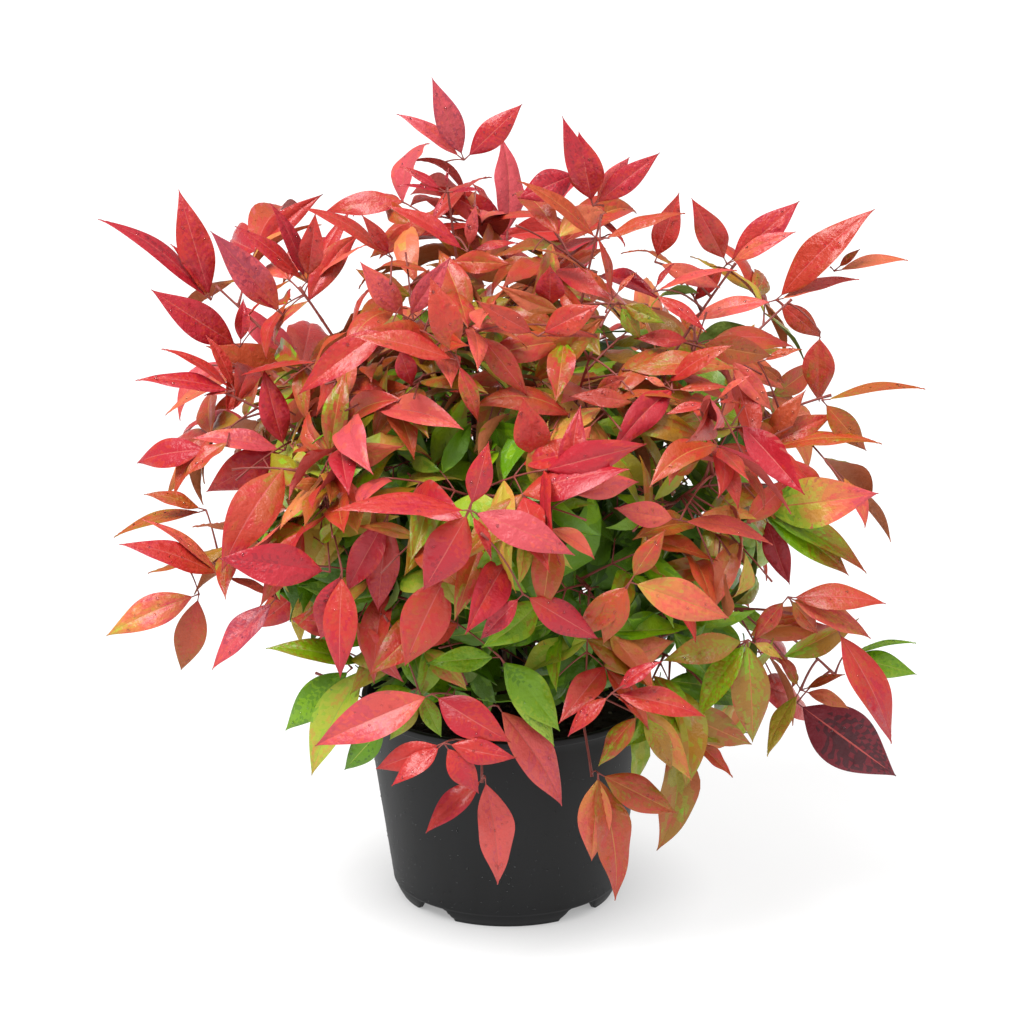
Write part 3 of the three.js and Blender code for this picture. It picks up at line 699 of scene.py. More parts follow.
# %% Show sprays at the top
SHOWN = [
    ("top_left", -7, 11.0, (464, 160), [(432, 76, 0.33), (397, 111, 0.2), (524, 104, 0.38)]),
    ("top_left", -12, 11.4, (446, 192), [(399, 166, 0.22), (397, 187, 0.1), (449, 168, 0.2),
                                         (433, 222, 0.2), (484, 191, 0.15)]),
    ("top_left", -45, 10.4, (468, 252), [(383, 206, 0.2), (476, 203, 0.3), (518, 241, 0.22)]),
    ("top_right", -14, 11.0, (593, 206), [(562, 115, 0.3), (577, 131, 0.5), (631, 157, 0.4),
                                          (661, 152, 0.33)]),
    ("top_right", 0, 11.3, (580, 172), [(517, 200, 0.55)]),
    ("top_right", -60, 8.6, (600, 240), [(515, 182, 0.18), (687, 213, 0.16)]),
    ("upper_right", -20, 9.4, (655, 262), [(679, 191, 0.4), (722, 290, 0.3)]),
    ("upper_right", 0, 10.0, (727, 264), [(693, 196, 0.42), (802, 201, 0.36), (797, 231, 0.25),
                                          (692, 300, 0.35)]),
    ("upper_right", -60, 10.0, (652, 292), [(674, 263, 0.2), (706, 334, 0.25), (738, 268, 0.1)]),
    ("upper_right", -85, 9.0, (664, 385), [(734, 342, 0.25)]),
    ("upper_right", -75, 7.8, (622, 370), [(741, 368, 0.22)]),
    ("upper_right", -60, 10.0, (695, 341), [(630, 338, 0.36)]),
    ("upper_right", -45, 6.8, (697, 343), [(774, 358, 0.4)]),
    ("upper_right", -95, 9.0, (672, 390), [(730, 388, 0.2), (643, 376, 0.3)]),
]
print(len(SHOWN), "show sprays at the top")

# %% Show sprays at the right
SHOWN += [
    ("middle_front_right", -105, 9.3, (713, 402), [(752, 376, 0.15), (665, 417, 0.25),
                                                    (742, 403, 0.15)]),
    ("middle_right", -45, 8.9, (728, 356), [(773, 412, 0.35)]),
    ("middle_right", -25, 8.1, (758, 362), [(803, 350, 0.2), (785, 384, 0.35)]),
    ("high_right", 60, 9.2, (776, 300), [(877, 208, 0.27), (861, 281, 0.16), (822, 338, 0.45),
                                         (683, 326, 0.2)]),
    ("high_right", 60, 8.2, (834, 271), [(910, 260, 0.16), (861, 249, 0.3)]),
    ("high_right", 20, 7.8, (820, 332), [(816, 403, 0.5)]),
    ("middle_right", -40, 8.1, (763, 449), [(884, 442, 0.13), (804, 388, 0.35), (834, 411, 0.35)]),
    ("middle_right", -40, 7.5, (822, 400), [(927, 391, 0.1), (866, 452, 0.4)]),
    ("middle_right", -80, (1.0, 13.0), (758, 508), [(881, 498, 0.45)]),
    ("middle_right", -84, (2.0, 7.5), (760, 512), [(869, 571, 0.2), (851, 577, 0.28)]),
    ("middle_right", -60, 11.1, (765, 515), [(787, 587, 0.4)]),
    ("low_right", -110, 8.5, (788, 597), [(751, 640, 0.4), (888, 604, 0.3), (820, 633, 0.45),
                                          (872, 638, 0.3)]),
    ("low_right", -110, 9.9, (838, 630), [(890, 749, 0.28)]),
    ("hanging_front_right", -125, 5.2, (748, 640), [(661, 661, 0.38), (747, 744, 0.36),
                                                    (698, 720, 0.32), (783, 658, 0.35)]),
    ("hanging_right", -50, 5.0, (800, 690), [(765, 757, 0.3)]),
    ("hanging_right", -28, 13.4, (797, 703), [(897, 777, 0.5)]),
    ("hanging_right", -45, 8.2, (801, 690), [(850, 708, 0.35), (846, 676, 0.25), (775, 652, 0.3)]),
    ("hanging_right", 10, 3.0, (845, 655), [(918, 675, 0.4), (917, 643, 0.1)]),
]
print(len(SHOWN), "show sprays with those at the right")

# %% Show sprays low in front
SHOWN += [
    ("middle_front_right", -150, 9.3, (680, 520), [(613, 508, 0.45), (774, 543, 0.2)]),
    ("low_front_right", -185, 8.1, (630, 582), [(664, 527, 0.4), (733, 616, 0.4), (600, 644, 0.42),
                                                (577, 640, 0.4)]),
    ("low_front_right", -190, 10.1, (612, 693), [(567, 736, 0.3), (706, 720, 0.3), (633, 708, 0.2),
                                                 (662, 660, 0.3)]),
    ("low_front_right", -160, 6.5, (640, 712), [(672, 770, 0.35), (598, 768, 0.35)]),
    ("apron_right", -137, 7.8, (598, 773), [(614, 902, 0.27), (592, 862, 0.42), (679, 814, 0.42)]),
    ("apron_front", -165, 11.0, (432, 694), [(314, 748, 0.38), (510, 746, 0.48)]),
    ("apron_front", -150, 11.0, (498, 706), [(564, 808, 0.32)]),
    ("apron_front", -178, 10.6, (444, 743), [(375, 770, 0.42), (521, 762, 0.4), (478, 795, 0.5),
                                             (392, 788, 0.36)]),
    ("apron_front", -152, 10.0, (485, 777), [(424, 833, 0.36), (497, 887, 0.36)]),
]
print(len(SHOWN), "show sprays with those low in front")

# %% Show sprays across the middle
SHOWN += [
    ("middle_front", -215, 10.8, (470, 510), [(330, 514, 0.17), (491, 441, 0.4), (491, 561, 0.25),
                                              (576, 558, 0.33), (424, 592, 0.5)]),
    ("middle_front", -200, 11.0, (523, 594), [(479, 640, 0.4), (600, 641, 0.38)]),
    ("middle_front", -180, 8.8, (448, 572), [(400, 665, 0.5)]),
    ("low_front_left", -150, 3.4, (500, 657), [(563, 730, 0.45), (425, 662, 0.4), (553, 750, 0.3)]),
    ("low_front_left", -122, 4.2, (418, 688), [(392, 742, 0.45), (441, 738, 0.4), (362, 706, 0.35)]),
    ("middle_front_left", -150, 11.4, (330, 572), [(217, 554, 0.42)]),
    ("middle_front_left", -165, 11.0, (342, 571), [(320, 640, 0.45), (343, 680, 0.35)]),
    ("middle_front_left", -150, 10.5, (388, 515), [(345, 592, 0.4), (380, 612, 0.35)]),
]
print(len(SHOWN), "show sprays with those across the middle")

# %% Show sprays of the upper front
SHOWN += [
    ("upper_front_left", -130, 9.2, (458, 360), [(350, 339, 0.24), (431, 275, 0.42), (476, 424, 0.3)]),
    ("upper_front_left", -60, 9.8, (392, 258), [(300, 203, 0.14), (362, 213, 0.3)]),
    ("upper_front_left", -75, 10.8, (407, 320), [(359, 261, 0.4), (449, 254, 0.35)]),
    ("upper_front_left", -110, 10.4, (398, 346), [(413, 386, 0.5)]),
    ("upper_front_left", -100, 9.6, (392, 324), [(298, 398, 0.3)]),
    ("upper_front_right", -125, 9.4, (538, 336), [(474, 302, 0.35), (600, 302, 0.5), (599, 337, 0.15)]),
    ("upper_front_right", -110, 9.2, (476, 331), [(531, 396, 0.35)]),
    ("upper_front_right", -70, 10.8, (549, 312), [(552, 264, 0.6)]),
    ("upper_front_right", -75, 8.4, (613, 298), [(596, 236, 0.15), (585, 268, 0.2), (637, 272, 0.2)]),
    ("upper_front_right", -55, 5.4, (618, 302), [(640, 340, 0.5), (666, 324, 0.4)]),
    ("upper_front_right", -100, 9.2, (590, 392), [(627, 377, 0.5)]),
    ("upper_front_right", -110, 9.4, (640, 403), [(568, 397, 0.3)]),
    ("upper_front_right", -150, 10.2, (540, 462), [(522, 397, 0.6)]),
]
print(len(SHOWN), "show sprays with those of the upper front")

# %% Show sprays at the left
SHOWN += [
    ("upper_left", -20, 10.6, (307, 282), [(268, 203, 0.2), (232, 228, 0.22), (318, 212, 0.4)]),
    ("upper_left", -30, 11.3, (283, 315), [(212, 227, 0.33), (231, 278, 0.15)]),
    ("high_left", 40, 11.0, (211, 300), [(98, 215, 0.13), (177, 188, 0.33), (170, 243, 0.2)]),
    ("high_left", 20, 10.4, (240, 347), [(148, 291, 0.36), (245, 298, 0.4)]),
    ("middle_left", -10, 10.0, (235, 391), [(134, 382, 0.2), (160, 348, 0.12), (206, 334, 0.25),
                                            (204, 396, 0.2)]),
    ("middle_left", -30, 10.8, (285, 450), [(261, 368, 0.4), (203, 490, 0.45), (190, 440, 0.25)]),
    ("low_left", -70, (9.0, 6.6), (199, 594), [(103, 633, 0.36), (184, 671, 0.4)]),
    ("low_left", -80, 9.6, (222, 575), [(140, 519, 0.12), (118, 543, 0.25), (281, 601, 0.15)]),
    ("low_left", -95, 11.2, (276, 598), [(213, 672, 0.3)]),
    ("low_left", -50, 7.6, (206, 510), [(143, 493, 0.25), (113, 538, 0.14)]),
    ("apron_left", -112, 4.6, (366, 664), [(264, 650, 0.25), (312, 778, 0.3)]),
    ("apron_left", -110, 3.0, (352, 668), [(283, 731, 0.36)]),
    ("apron_left", -125, 2.0, (388, 722), [(343, 771, 0.42)]),
]
SHOWN_HEADINGS = ("mass", "depth", "turned_to", "node", "tips")
SHOWN = [dict(zip(SHOWN_HEADINGS, row)) for row in SHOWN]
print(len(SHOWN), "show sprays with", sum(len(row["tips"]) for row in SHOWN), "leaflets")

# %% [markdown]
# A leaflet that shows hangs on a short stalk of its own, and it is turned about its length until the
# right width shows. A blade seen nearly edge-on is also made narrower and flatter, as its folds would
# make it look too wide.

# %% Leaflets that show
SHOWN_SHARES = np.linspace(0.3, 1, 60)  # where along a limb's arch a show spray may be carried
STALK_RISE = 0.15
TIP_STRAY = 14
OWN_STALK = 5.0
EDGE_ON_WIDTH = 0.6  # the share of its full width that a blade seen quite edge-on keeps
SHOWN_RISE = 0.25
SHOWN_FORM = {
    "droop": (0.3, 0.42, 1),
    "fold": (0.12, 0.4, 1),
    "curl": (0.0, 0.35, 1),
    "wave": (0.02, 0.16, 1),
    "waves": (8, 14, 1),
    "twist": (-0.3, 0.3, 1),
    "sickle": (-0.05, 0.05, 1),
}
FLATTER_EDGE_ON = {"fold": 1, "curl": 1, "wave": 1, "twist": 2}  # powers of how much it faces the view


def shown_leaf(node, tip, width_seen, turned_to, extra):
    length = np.linalg.norm(tip - node) - OWN_STALK
    along = unit(tip - node)
    share = width_share_at(height_share(node))
    share = max(share * min(EDGE_ON_WIDTH + width_seen, 1), width_seen)
    facing = width_seen / share
    off = math.degrees(math.acos(facing))
    to_camera = square_to(CAMERA_PLACE - node, along)
    normal = max((turned(to_camera, along, turn) for turn in (off, -off)), key=lambda way: way[2])
    form = drawn_form(SHOWN_FORM, extra)
    for bend, power in FLATTER_EDGE_ON.items():
        form[bend] *= facing**power
    at_base, at_tip = np.broadcast_to(turned_to, 2)
    return {
        "root": node + along * OWN_STALK,
        "node": node,
        "along": along,
        "normal": normal,
        "length": length,
        "width": length * share,
        "rise": SHOWN_RISE,
        "turned_to": (at_base + at_tip) / 2,
        "to_tip": at_tip - at_base,
        **form,
    }


def shown_spray(row, limb, extra):
    """One placed spray, on a stalk from the nearest part of its limb's arch."""
    node = seen_at(*row["node"], row["depth"])
    arch = np.array([limb["arch"].at(share) for share in SHOWN_SHARES])
    base = arch[np.argmin(np.linalg.norm(arch - node, axis=1))]
    reach = np.linalg.norm(node - base)
    stalk = Curve(base, lerp(base, node, 0.5) + UP * STALK_RISE * reach, node)
    leaves = []
    for column, line, width_seen in row["tips"]:
        tip = seen_at(column, line, row["depth"] + spread(TIP_STRAY, extra))
        leaves.append(shown_leaf(node, tip, width_seen, row["turned_to"], extra))
    return {"stalk": stalk, "leaves": leaves, "twigs": []}


for mass in grown:
    placing = seeded_random(FINE_SEED * 3 + mass["index"])
    rows = [row for row in SHOWN if row["mass"] == mass["limb"]["mass"]["name"]]
    mass["shown"] = [shown_spray(row, mass["limb"], placing) for row in rows]
    if rows:
        mass["sprays"] = mass["sprays"][1:]  # the show sprays take the place of the leading leaflets
print("most show sprays on one mass:", max(len(mass["shown"]) for mass in grown))

# %% [markdown]
# ## Which leaflets find room
# A leaflet that finds no room at its own tilt is tried a little turned or smaller, and is left out
# if that doesn't help either. One that would stand before a show leaflet is left out as well, as it
# would hide what gives the plant its look.

# %% Room for a leaflet
LEAF_MARGIN = {"shown": 1.5, "sprays": 3.4, "shoots": 3.4}
TWIG_MARGIN = 2.2
HIDING = {"within": 9.0, "most_points": 3}  # in steps of the view, and of the points felt on a leaflet
NEAR = 85.0
TRIMS = [(1, 0), (0.94, 14), (0.94, -14), (0.84, 0), (0.76, 22), (0.76, -22)]  # size and tilt
ROOM_FOR = 4000
BOX_HALF = np.array([288.0, 240.0])
BOX_TOP = 592.0
BY_THE_POT = 8
taken_leaves = np.zeros((ROOM_FOR, len(FEEL_U), 3))
taken_middles = np.zeros((ROOM_FOR, 3))
leaf_count = 0
twig_points = np.zeros((0, 3))
shown_seen = np.zeros((0, 3))


def in_box(points):
    out = np.hypot(points[:, 0], points[:, 1])
    by_pot = (points[:, 2] < POT["height"] + POT_MARGIN) & (out < POT["rim_radius"] + BY_THE_POT)
    inside = (np.abs(points[:, :2]) < BOX_HALF).all() and points[:, 2].max() < BOX_TOP
    return bool(inside and not by_pot.any())


def leaf_has_room(index, points, own_stalk, kind):
    middle = points.mean(0)
    if not (in_box(points) if kind == "shown" else in_space(index, points, INTERLOCK[kind])):
        return False
    if kind == "shoots" and not in_inner_room(points):
        return False
    if not clear_of_limbs(points):
        return False
    near = np.linalg.norm(taken_middles[:leaf_count] - middle, axis=1) < NEAR
    if near.any():
        others = taken_leaves[:leaf_count][near].reshape(-1, 3)
        if (np.linalg.norm(points[:, None] - others, axis=2) < LEAF_MARGIN[kind]).any():
            return False
    close = np.linalg.norm(twig_points - middle, axis=1) < NEAR
    close &= ~own_stalk[: len(close)]
    if close.any():
        gaps = np.linalg.norm(points[:, None] - twig_points[close], axis=2)
        return bool((gaps > TWIG_MARGIN).all())
    return True


def hides_shown(points):
    """Whether a leaflet of the rule would stand before one of the leaflets that show."""
    seen = where_seen(points)
    apart = np.linalg.norm(seen[:, None, :2] - shown_seen[None, :, :2], axis=2)
    nearer = seen[:, None, 2] < shown_seen[None, :, 2]
    return ((apart < HIDING["within"]) & nearer).any(1).sum() > HIDING["most_points"]


def fit_leaf(index, leaf, own_stalk, kind):
    for trim, tilt in TRIMS:
        tried = dict(leaf, length=leaf["length"] * trim, width=leaf["width"] * trim)
        tried["normal"] = turned(leaf["normal"], leaf["along"], tilt)
        points = leaf_surface(tried, FEEL_U, FEEL_V)
        if leaf_has_room(index, points, own_stalk, kind):
            if kind != "shown" and hides_shown(points):
                return None, None
            return tried, points
    return None, None


print("a leaflet is tried at", len(TRIMS), "sizes and tilts")

# %% [markdown]
# All masses are filled side by side, spray by spray, so that none takes the room of its neighbour.
# The show sprays come first, then the sprays of each stem, and last the shoots inside the crown. A
# thin mass stops early, which leaves the sky between its sprays.

# %% Fill the crown
MOST_ON_STEM = 62  # leaflets in a full mass
MOST_ON_LIMB = 30  # leaflets on the shoots of one bare limb
FELT = {"stem": 12, "stalk": 9, "trial": 7}  # places along each that are felt for


def stalk_fits(index, stalk, kind):
    points = stalk.many(FELT["trial"])[1:]
    return in_space(index, points, INTERLOCK[kind]) and clear_of_limbs(points[2:])


def place_spray(mass, spray, kind, carried_by=slice(0, 0)):
    """Keep the leaflets of a spray that find room, then its stalk and its side twigs."""
    global leaf_count, twig_points
    stalk = spray["stalk"]
    if kind != "shown" and stalk is not None and not stalk_fits(mass["index"], stalk, kind):
        return
    own = np.zeros(len(twig_points), bool)
    own[carried_by] = True
    if stalk is None or kind == "shown":
        own[mass["stem_points"]] = True
    kept = []
    for leaf in spray["leaves"]:
        tried, points = fit_leaf(mass["index"], leaf, own, kind)
        if tried is not None:
            tried["inner"] = kind == "shoots"
            kept.append(tried)
            taken_leaves[leaf_count] = points
            taken_middles[leaf_count] = points.mean(0)
            leaf_count += 1
    if not kept:
        return
    mass["leaves"].extend(kept)
    own_stalks = [(leaf["node"], leaf["root"]) for leaf in kept if "node" in leaf]
    mass["twigs"] += [Curve(node, lerp(node, root, 0.5), root) for node, root in own_stalks]
    if stalk is None:
        return
    start = len(twig_points)
    twig_points = np.vstack([twig_points, stalk.many(FELT["stalk"])[2:]])
    mass["twigs"].append(stalk)
    for twig in spray.get("twigs", ()):
        if len(mass["leaves"]) < mass["most"]:
            place_spray(mass, twig, kind, slice(start, len(twig_points)))


for mass in grown:
    mass["leaves"] = []
    mass["twigs"] = []
    mass["most"] = MOST_ON_STEM * mass["limb"]["mass"]["fullness"]
    start = len(twig_points)
    twig_points = np.vstack([twig_points, mass["stem"].many(FELT["stem"])])
    mass["stem_points"] = slice(start, len(twig_points))
for kind, more in (("shown", 0), ("sprays", 0), ("shoots", MOST_ON_LIMB)):
    if kind == "sprays":
        shown_seen = where_seen(taken_leaves[:leaf_count].reshape(-1, 3))
    for mass in grown:
        mass["most"] = max(mass["most"], len(mass["leaves"]) + more)
    for turn in range(max(len(mass[kind]) for mass in grown)):
        for mass in grown:
            room_left = kind == "shown" or len(mass["leaves"]) < mass["most"]
            if turn < len(mass[kind]) and room_left:
                place_spray(mass, mass[kind][turn], kind)
print(leaf_count, "leaflets found room on", sum(len(m["twigs"]) for m in grown), "twigs")
print("show leaflets placed:", sum("turned_to" in leaf for m in grown for leaf in m["leaves"]))

# %% [markdown]
# ## Pieces from arrays
# Every piece below is one mesh: corners, faces, and for each face the number of its material. The
# helper moves the plant's millimetres into the frame's metres, lets the piece ride on the model's
# one body, and hides the solids it stands for.

# %% Helpers for pieces
def with_triangles(faces):
    """Face lists in which a repeated last corner is dropped."""
    return [face[:3] if face[2] == face[3] else face for face in np.asarray(faces).tolist()]


def make_piece(name, corners, faces, materials, slot, nodes=(), picks=None):
    mesh = bpy.data.meshes.new(name)
    world = np.asarray(corners) * MM + POT_FOOT
    mesh.from_pydata(world.tolist(), [], with_triangles(faces))
    for material in materials:
        mesh.materials.append(material)
    if picks is not None:
        mesh.polygons.foreach_set("material_index", np.asarray(picks, dtype=np.int32))
    mesh.polygons.foreach_set("use_smooth", np.ones(len(mesh.polygons), dtype=bool))
    mesh.update()
    piece = bpy.data.objects.new(name, mesh)
    bpy.context.scene.collection.objects.link(piece)
    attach(piece, "root")
    if nodes:
        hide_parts(*nodes)
    return piece


def joined(parts):
    """Corners and faces of many small meshes as one."""
    corners, faces, start = [], [], 0
    for part_corners, part_faces in parts:
        corners.append(part_corners)
        faces.append(part_faces + start)
        start += len(part_corners)
    return np.vstack(corners), np.vstack(faces)


print("a face with a doubled corner becomes", with_triangles([[0, 1, 2, 2]])[0])

# %% [markdown]
# Every finish below is a small tree of nodes: a noise gives the pattern, a ramp or a range turns it
# into colour and gloss, and a bump gives the fine relief. What is the same all over a surface is set
# on the shader itself. Four helpers keep these recipes short enough to be read at a glance.

# %% Helpers for materials
def linear(hex_colour):
    """A screen colour such as "c8344a" as the linear numbers that shaders take."""
    parts = [int(hex_colour[k : k + 2], 16) / 255 for k in (0, 2, 4)]
    return [p / 12.92 if p <= 0.04045 else ((p + 0.055) / 1.055) ** 2.4 for p in parts] + [1.0]


def set_inputs(node, inputs):
    for name, value in inputs.items():
        node.inputs[name].default_value = value


def new_material(name, inputs):
    """A new material and its shader, with the shader's own inputs set."""
    material = bpy.data.materials.new(name)
    material.use_nodes = True
    shader = material.node_tree.nodes["Principled BSDF"]
    set_inputs(shader, inputs)
    return material, shader


def add_node(material, kind, inputs=None):
    node = material.node_tree.nodes.new(f"ShaderNode{kind}")
    set_inputs(node, inputs or {})
    return node


def add_ramp(material, stops):
    """A colour ramp. Each stop is a place on the ramp and a screen colour."""
    ramp = add_node(material, "ValToRGB")
    elements = ramp.color_ramp.elements
    for k in (0, -1):
        elements[k].position = stops[k][0]
        elements[k].color = linear(stops[k][1])
    for position, colour in stops[1:-1]:
        elements.new(position).color = linear(colour)
    return ramp


def wire(material, *wires):
    """Each wire names a node and its output, then a node and its input."""
    for source, output, target, socket in wires:
        material.node_tree.links.new(source.outputs[output], target.inputs[socket])


print("mid grey on a screen is", round(linear("808080")[0], 3), "to a shader")

# %% [markdown]
# ## Leaf colours
# In autumn the leaflets turn from green through olive and brick to crimson, first where the light
# reaches them. A pattern laid over a joined mesh would fall anywhere, so each tint is a material with
# one plain colour. The tints stand in the order in which a leaf turns, close to each other, and every
# face of a leaflet gets the tint for how far it has turned. The gloss and the fine puckering of the
# blade come from nodes.

# %% Tints in the order of turning
TURNING = ["2e5006", "467006", "5c8a06", "74a008", "84a60e", "918614", "9c6c16", "a8541c",
           "b24622", "b83a28", "ba2e28", "b2202e", "9c1a2a", "741424", "4c101c"]
# lighter copies of the turning tints: a painted sheen, the pale pink of blades that catch the light
PAINTED_SHEEN_TINTS = ["3e6018", "5a861c", "76a024", "94b02c", "a6b032", "b69f36", "c28a3a", "cc763e",
         "d06844", "d05a44", "ce4e48", "c4464e", "ac3c4c", "883240", "622c36"]
RIBS = ["95a53c", "bb743c", "c0544e"]
UNDERSIDES = ["769040", "b86a44", "bc524c"]
LAST_TINT = len(TURNING) - 1
REDDEST = 11  # the tint where most leaflets stop; the last ones are maroon


def leaf_material(name, colour, roughest, coat):
    material, shader = new_material(name, {
        "Base Color": linear(colour),
        "Coat Weight": coat,
        "Coat Roughness": 0.22,
        "Specular IOR Level": 0.35,
    })
    place = add_node(material, "TexCoord")
    patches = add_node(material, "TexNoise", {"Scale": 60, "Detail": 4})
    gloss = add_node(material, "MapRange", {"To Min": roughest - 0.2, "To Max": roughest})
    pucker = add_node(material, "TexNoise", {"Scale": 170, "Detail": 4, "Roughness": 0.6})
    bump = add_node(material, "Bump", {"Strength": 0.7, "Distance": 0.0022})
    wire(material,
         (place, "Object", patches, "Vector"), (patches, "Fac", gloss, "Value"),
         (gloss, "Result", shader, "Roughness"), (place, "Object", pucker, "Vector"),
         (pucker, "Fac", bump, "Height"), (bump, "Normal", shader, "Normal"))
    return material


TINTS = [  # the kind of face, its colours, its greatest roughness and its coat of wax
    ("turning", TURNING, 0.46, 0.24),
    ("painted_sheen", PAINTED_SHEEN_TINTS, 0.5, 0.2),
    ("rib", RIBS, 0.6, 0.0),
    ("underside", UNDERSIDES, 0.72, 0.0),
]
leaf_materials = []
for kind, tints, roughest, coat in TINTS:
    for step, colour in enumerate(tints):
        leaf_materials.append(leaf_material(f"leaf {kind} {step}", colour, roughest, coat))
FIRST_PAINTED_SHEEN = len(TURNING)
FIRST_RIB = FIRST_PAINTED_SHEEN + len(PAINTED_SHEEN_TINTS)
FIRST_UNDERSIDE = FIRST_RIB + len(RIBS)
print(len(leaf_materials), "leaf tints")

# %% [markdown]
# A leaflet's grid has the same faces every time, so they are worked out once, with the row and the
# place across for each. Show leaflets get the finest grid, others in the light a fine one, and those
# deep inside a plain one. The veins are ridges that slant forward from the midrib, two rows of
# corners to each.

# %% The leaflet's grid
SHOW_LINE = [0.0, 0.03, 0.16, 0.3, 0.45, 0.6, 0.74, 0.88, 1.0]
FINE_LINE = [0.0, 0.035, 0.28, 0.52, 0.76, 1.0]
PLAIN_LINE = [0.0, 0.5, 1.0]
ROWS = {"show": 30, "fine": 18, "plain": 8}
MIDRIB = 0.1  # corners nearer to the midrib than this don't stray
UNEVEN = {"along": 0.42, "across": 0.36}  # how far corners stray, so that patches have soft outlines
BELLY = {"across": [0, 0.25, 0.7, 1], "height": [0, 0.6, 1, 0]}  # a ridge from the midrib outwards


def sheet(rows, half_line):
    """Places, ridge share and faces of one sheet of a leaflet, from margin to margin."""
    half_line = np.array(half_line)
    line = np.concatenate([-half_line[:0:-1], half_line])
    u, v = np.meshgrid(np.linspace(0, 1, rows + 1), line, indexing="ij")
    inside = (u > 0) & (u < 1) & (np.abs(v) > MIDRIB) & (np.abs(v) < 1)
    stray = np.random.default_rng(rows).uniform(-1, 1, (2, *u.shape)) * inside
    u = u + stray[0] * UNEVEN["along"] / rows
    v = v + stray[1] * UNEVEN["across"] / len(half_line)
    belly = np.interp(np.abs(v), BELLY["across"], BELLY["height"])
    ridge = np.where(np.arange(rows + 1) % 2, 1.0, -1.0)[:, None] * belly
    u = u + LEAF["slant"] * np.abs(v) * 4 * u * (1 - u)
    across = len(line)
    corner = (np.arange(rows)[:, None] * across + np.arange(across - 1)).ravel()
    faces = np.stack([corner, corner + across, corner + across + 1, corner + 1], 1)
    return {"u": u.ravel(), "v": v.ravel(), "ridge": ridge.ravel(), "faces": faces}


def grid(rows, top_line, under_line):
    """The upper and the lower sheet, with the middle of each face on both."""
    top, under = sheet(rows, top_line), sheet(rows, under_line)
    faces = np.vstack([top["faces"], under["faces"][:, [0, 3, 2, 1]] + len(top["u"])])
    return {
        "top": top,
        "under": under,
        "faces": faces,
        "face_u": top["u"][top["faces"]].mean(1),
        "face_v": top["v"][top["faces"]].mean(1),
        "under_count": len(under["faces"]),
    }


SHOW_GRID = grid(ROWS["show"], SHOW_LINE, PLAIN_LINE)
FINE_GRID = grid(ROWS["fine"], FINE_LINE, PLAIN_LINE)
PLAIN_GRID = grid(ROWS["plain"], PLAIN_LINE, PLAIN_LINE)
print("faces in a leaflet:", [len(made["faces"]) for made in (SHOW_GRID, FINE_GRID, PLAIN_GRID)])


# %% [markdown]
# How much light a leaflet gets decides how far it has turned. Light comes from outside and above, so
# each leaflet counts the others that lie that way within a hand's width, and the leaflets of a mass
# are ranked by that count. Each mass has its own hues for the shaded and for the lit end. The heart of
# the crown, over the pot and between the canes, stays green.

# %% Light on each leaflet
SHADE_REACH = 120.0
TO_LIGHT = {"outward": 0.8, "up": 0.6, "front": 0.1}
LEAST_AHEAD = 0.3
INNER_SHADE = 100  # shoots inside the crown count as shaded by this many more leaflets
GREEN_OUT = (190, -90)  # green within this distance of the axis, and how softly that ends
GREEN_HEIGHTS = [(400, -120), (110, 50), (370, -120)]
HUES = {  # turned so far in the shade, in the light, and how sharp the change is
    "crimson": (7.2, 11.0, 1.0),
    "red": (5.6, 10.6, 1.0),
    "rose": (4.4, 10.4, 1.0),
    "two_tone": (3.2, 10.6, 2.0),
    "coral": (2.4, 9.0, 1.0),
    "scarlet": (9.0, 10.8, 1.0),
    "amber": (6.2, 8.2, 1.0),
    "wine": (7.0, 12.6, 1.2),
    "olive": (2.6, 8.2, 1.0),
    "green": (1.8, 4.4, 1.0),
}


def turned_by(hue, light):
    shaded, lit, sharpness = HUES[hue]
    return lerp(shaded, lit, min(max(0.5 + sharpness * (light - 0.5), 0), 1))


def share_past(values, border, width):
    """Nothing at a border and one a width above it, or below it where the width is negative."""
    return np.clip((values - border) / width, 0, 1)


all_leaves = [leaf for mass in grown for leaf in mass["leaves"]]
middles = np.array([leaf_surface(leaf, np.array([0.5]), np.array([0.0]))[0] for leaf in all_leaves])
outward = middles - HEART
outward /= np.linalg.norm(outward, axis=1)[:, None]
to_light = outward * TO_LIGHT["outward"] + UP * TO_LIGHT["up"] + FRONT * TO_LIGHT["front"]
gaps = middles[None] - middles[:, None]
distance = np.linalg.norm(gaps, axis=2) + NEARLY_NOTHING
ahead = (gaps * to_light[:, None]).sum(2) / distance
shade = (np.clip(ahead - LEAST_AHEAD, 0, 1) * np.clip(1 - distance / SHADE_REACH, 0, 1)).sum(1)
from_axis = np.hypot(middles[:, 0], middles[:, 1])
heart = share_past(from_axis, *GREEN_OUT)
for border, width in GREEN_HEIGHTS:
    heart = heart * share_past(middles[:, 2], border, width)
first = 0
for mass in grown:
    count = len(mass["leaves"])
    inner = np.array([leaf["inner"] for leaf in mass["leaves"]])
    own_shade = shade[first : first + count] + inner * INNER_SHADE
    rank = np.argsort(np.argsort(-own_shade)) - inner.sum()
    for k, leaf in enumerate(mass["leaves"]):
        leaf["light"] = max(rank[k], 0) / (count - inner.sum())
        leaf["heart"] = heart[first + k]
    first += count
print("shade counts from", round(shade.min(), 2), "to", round(shade.max(), 2))
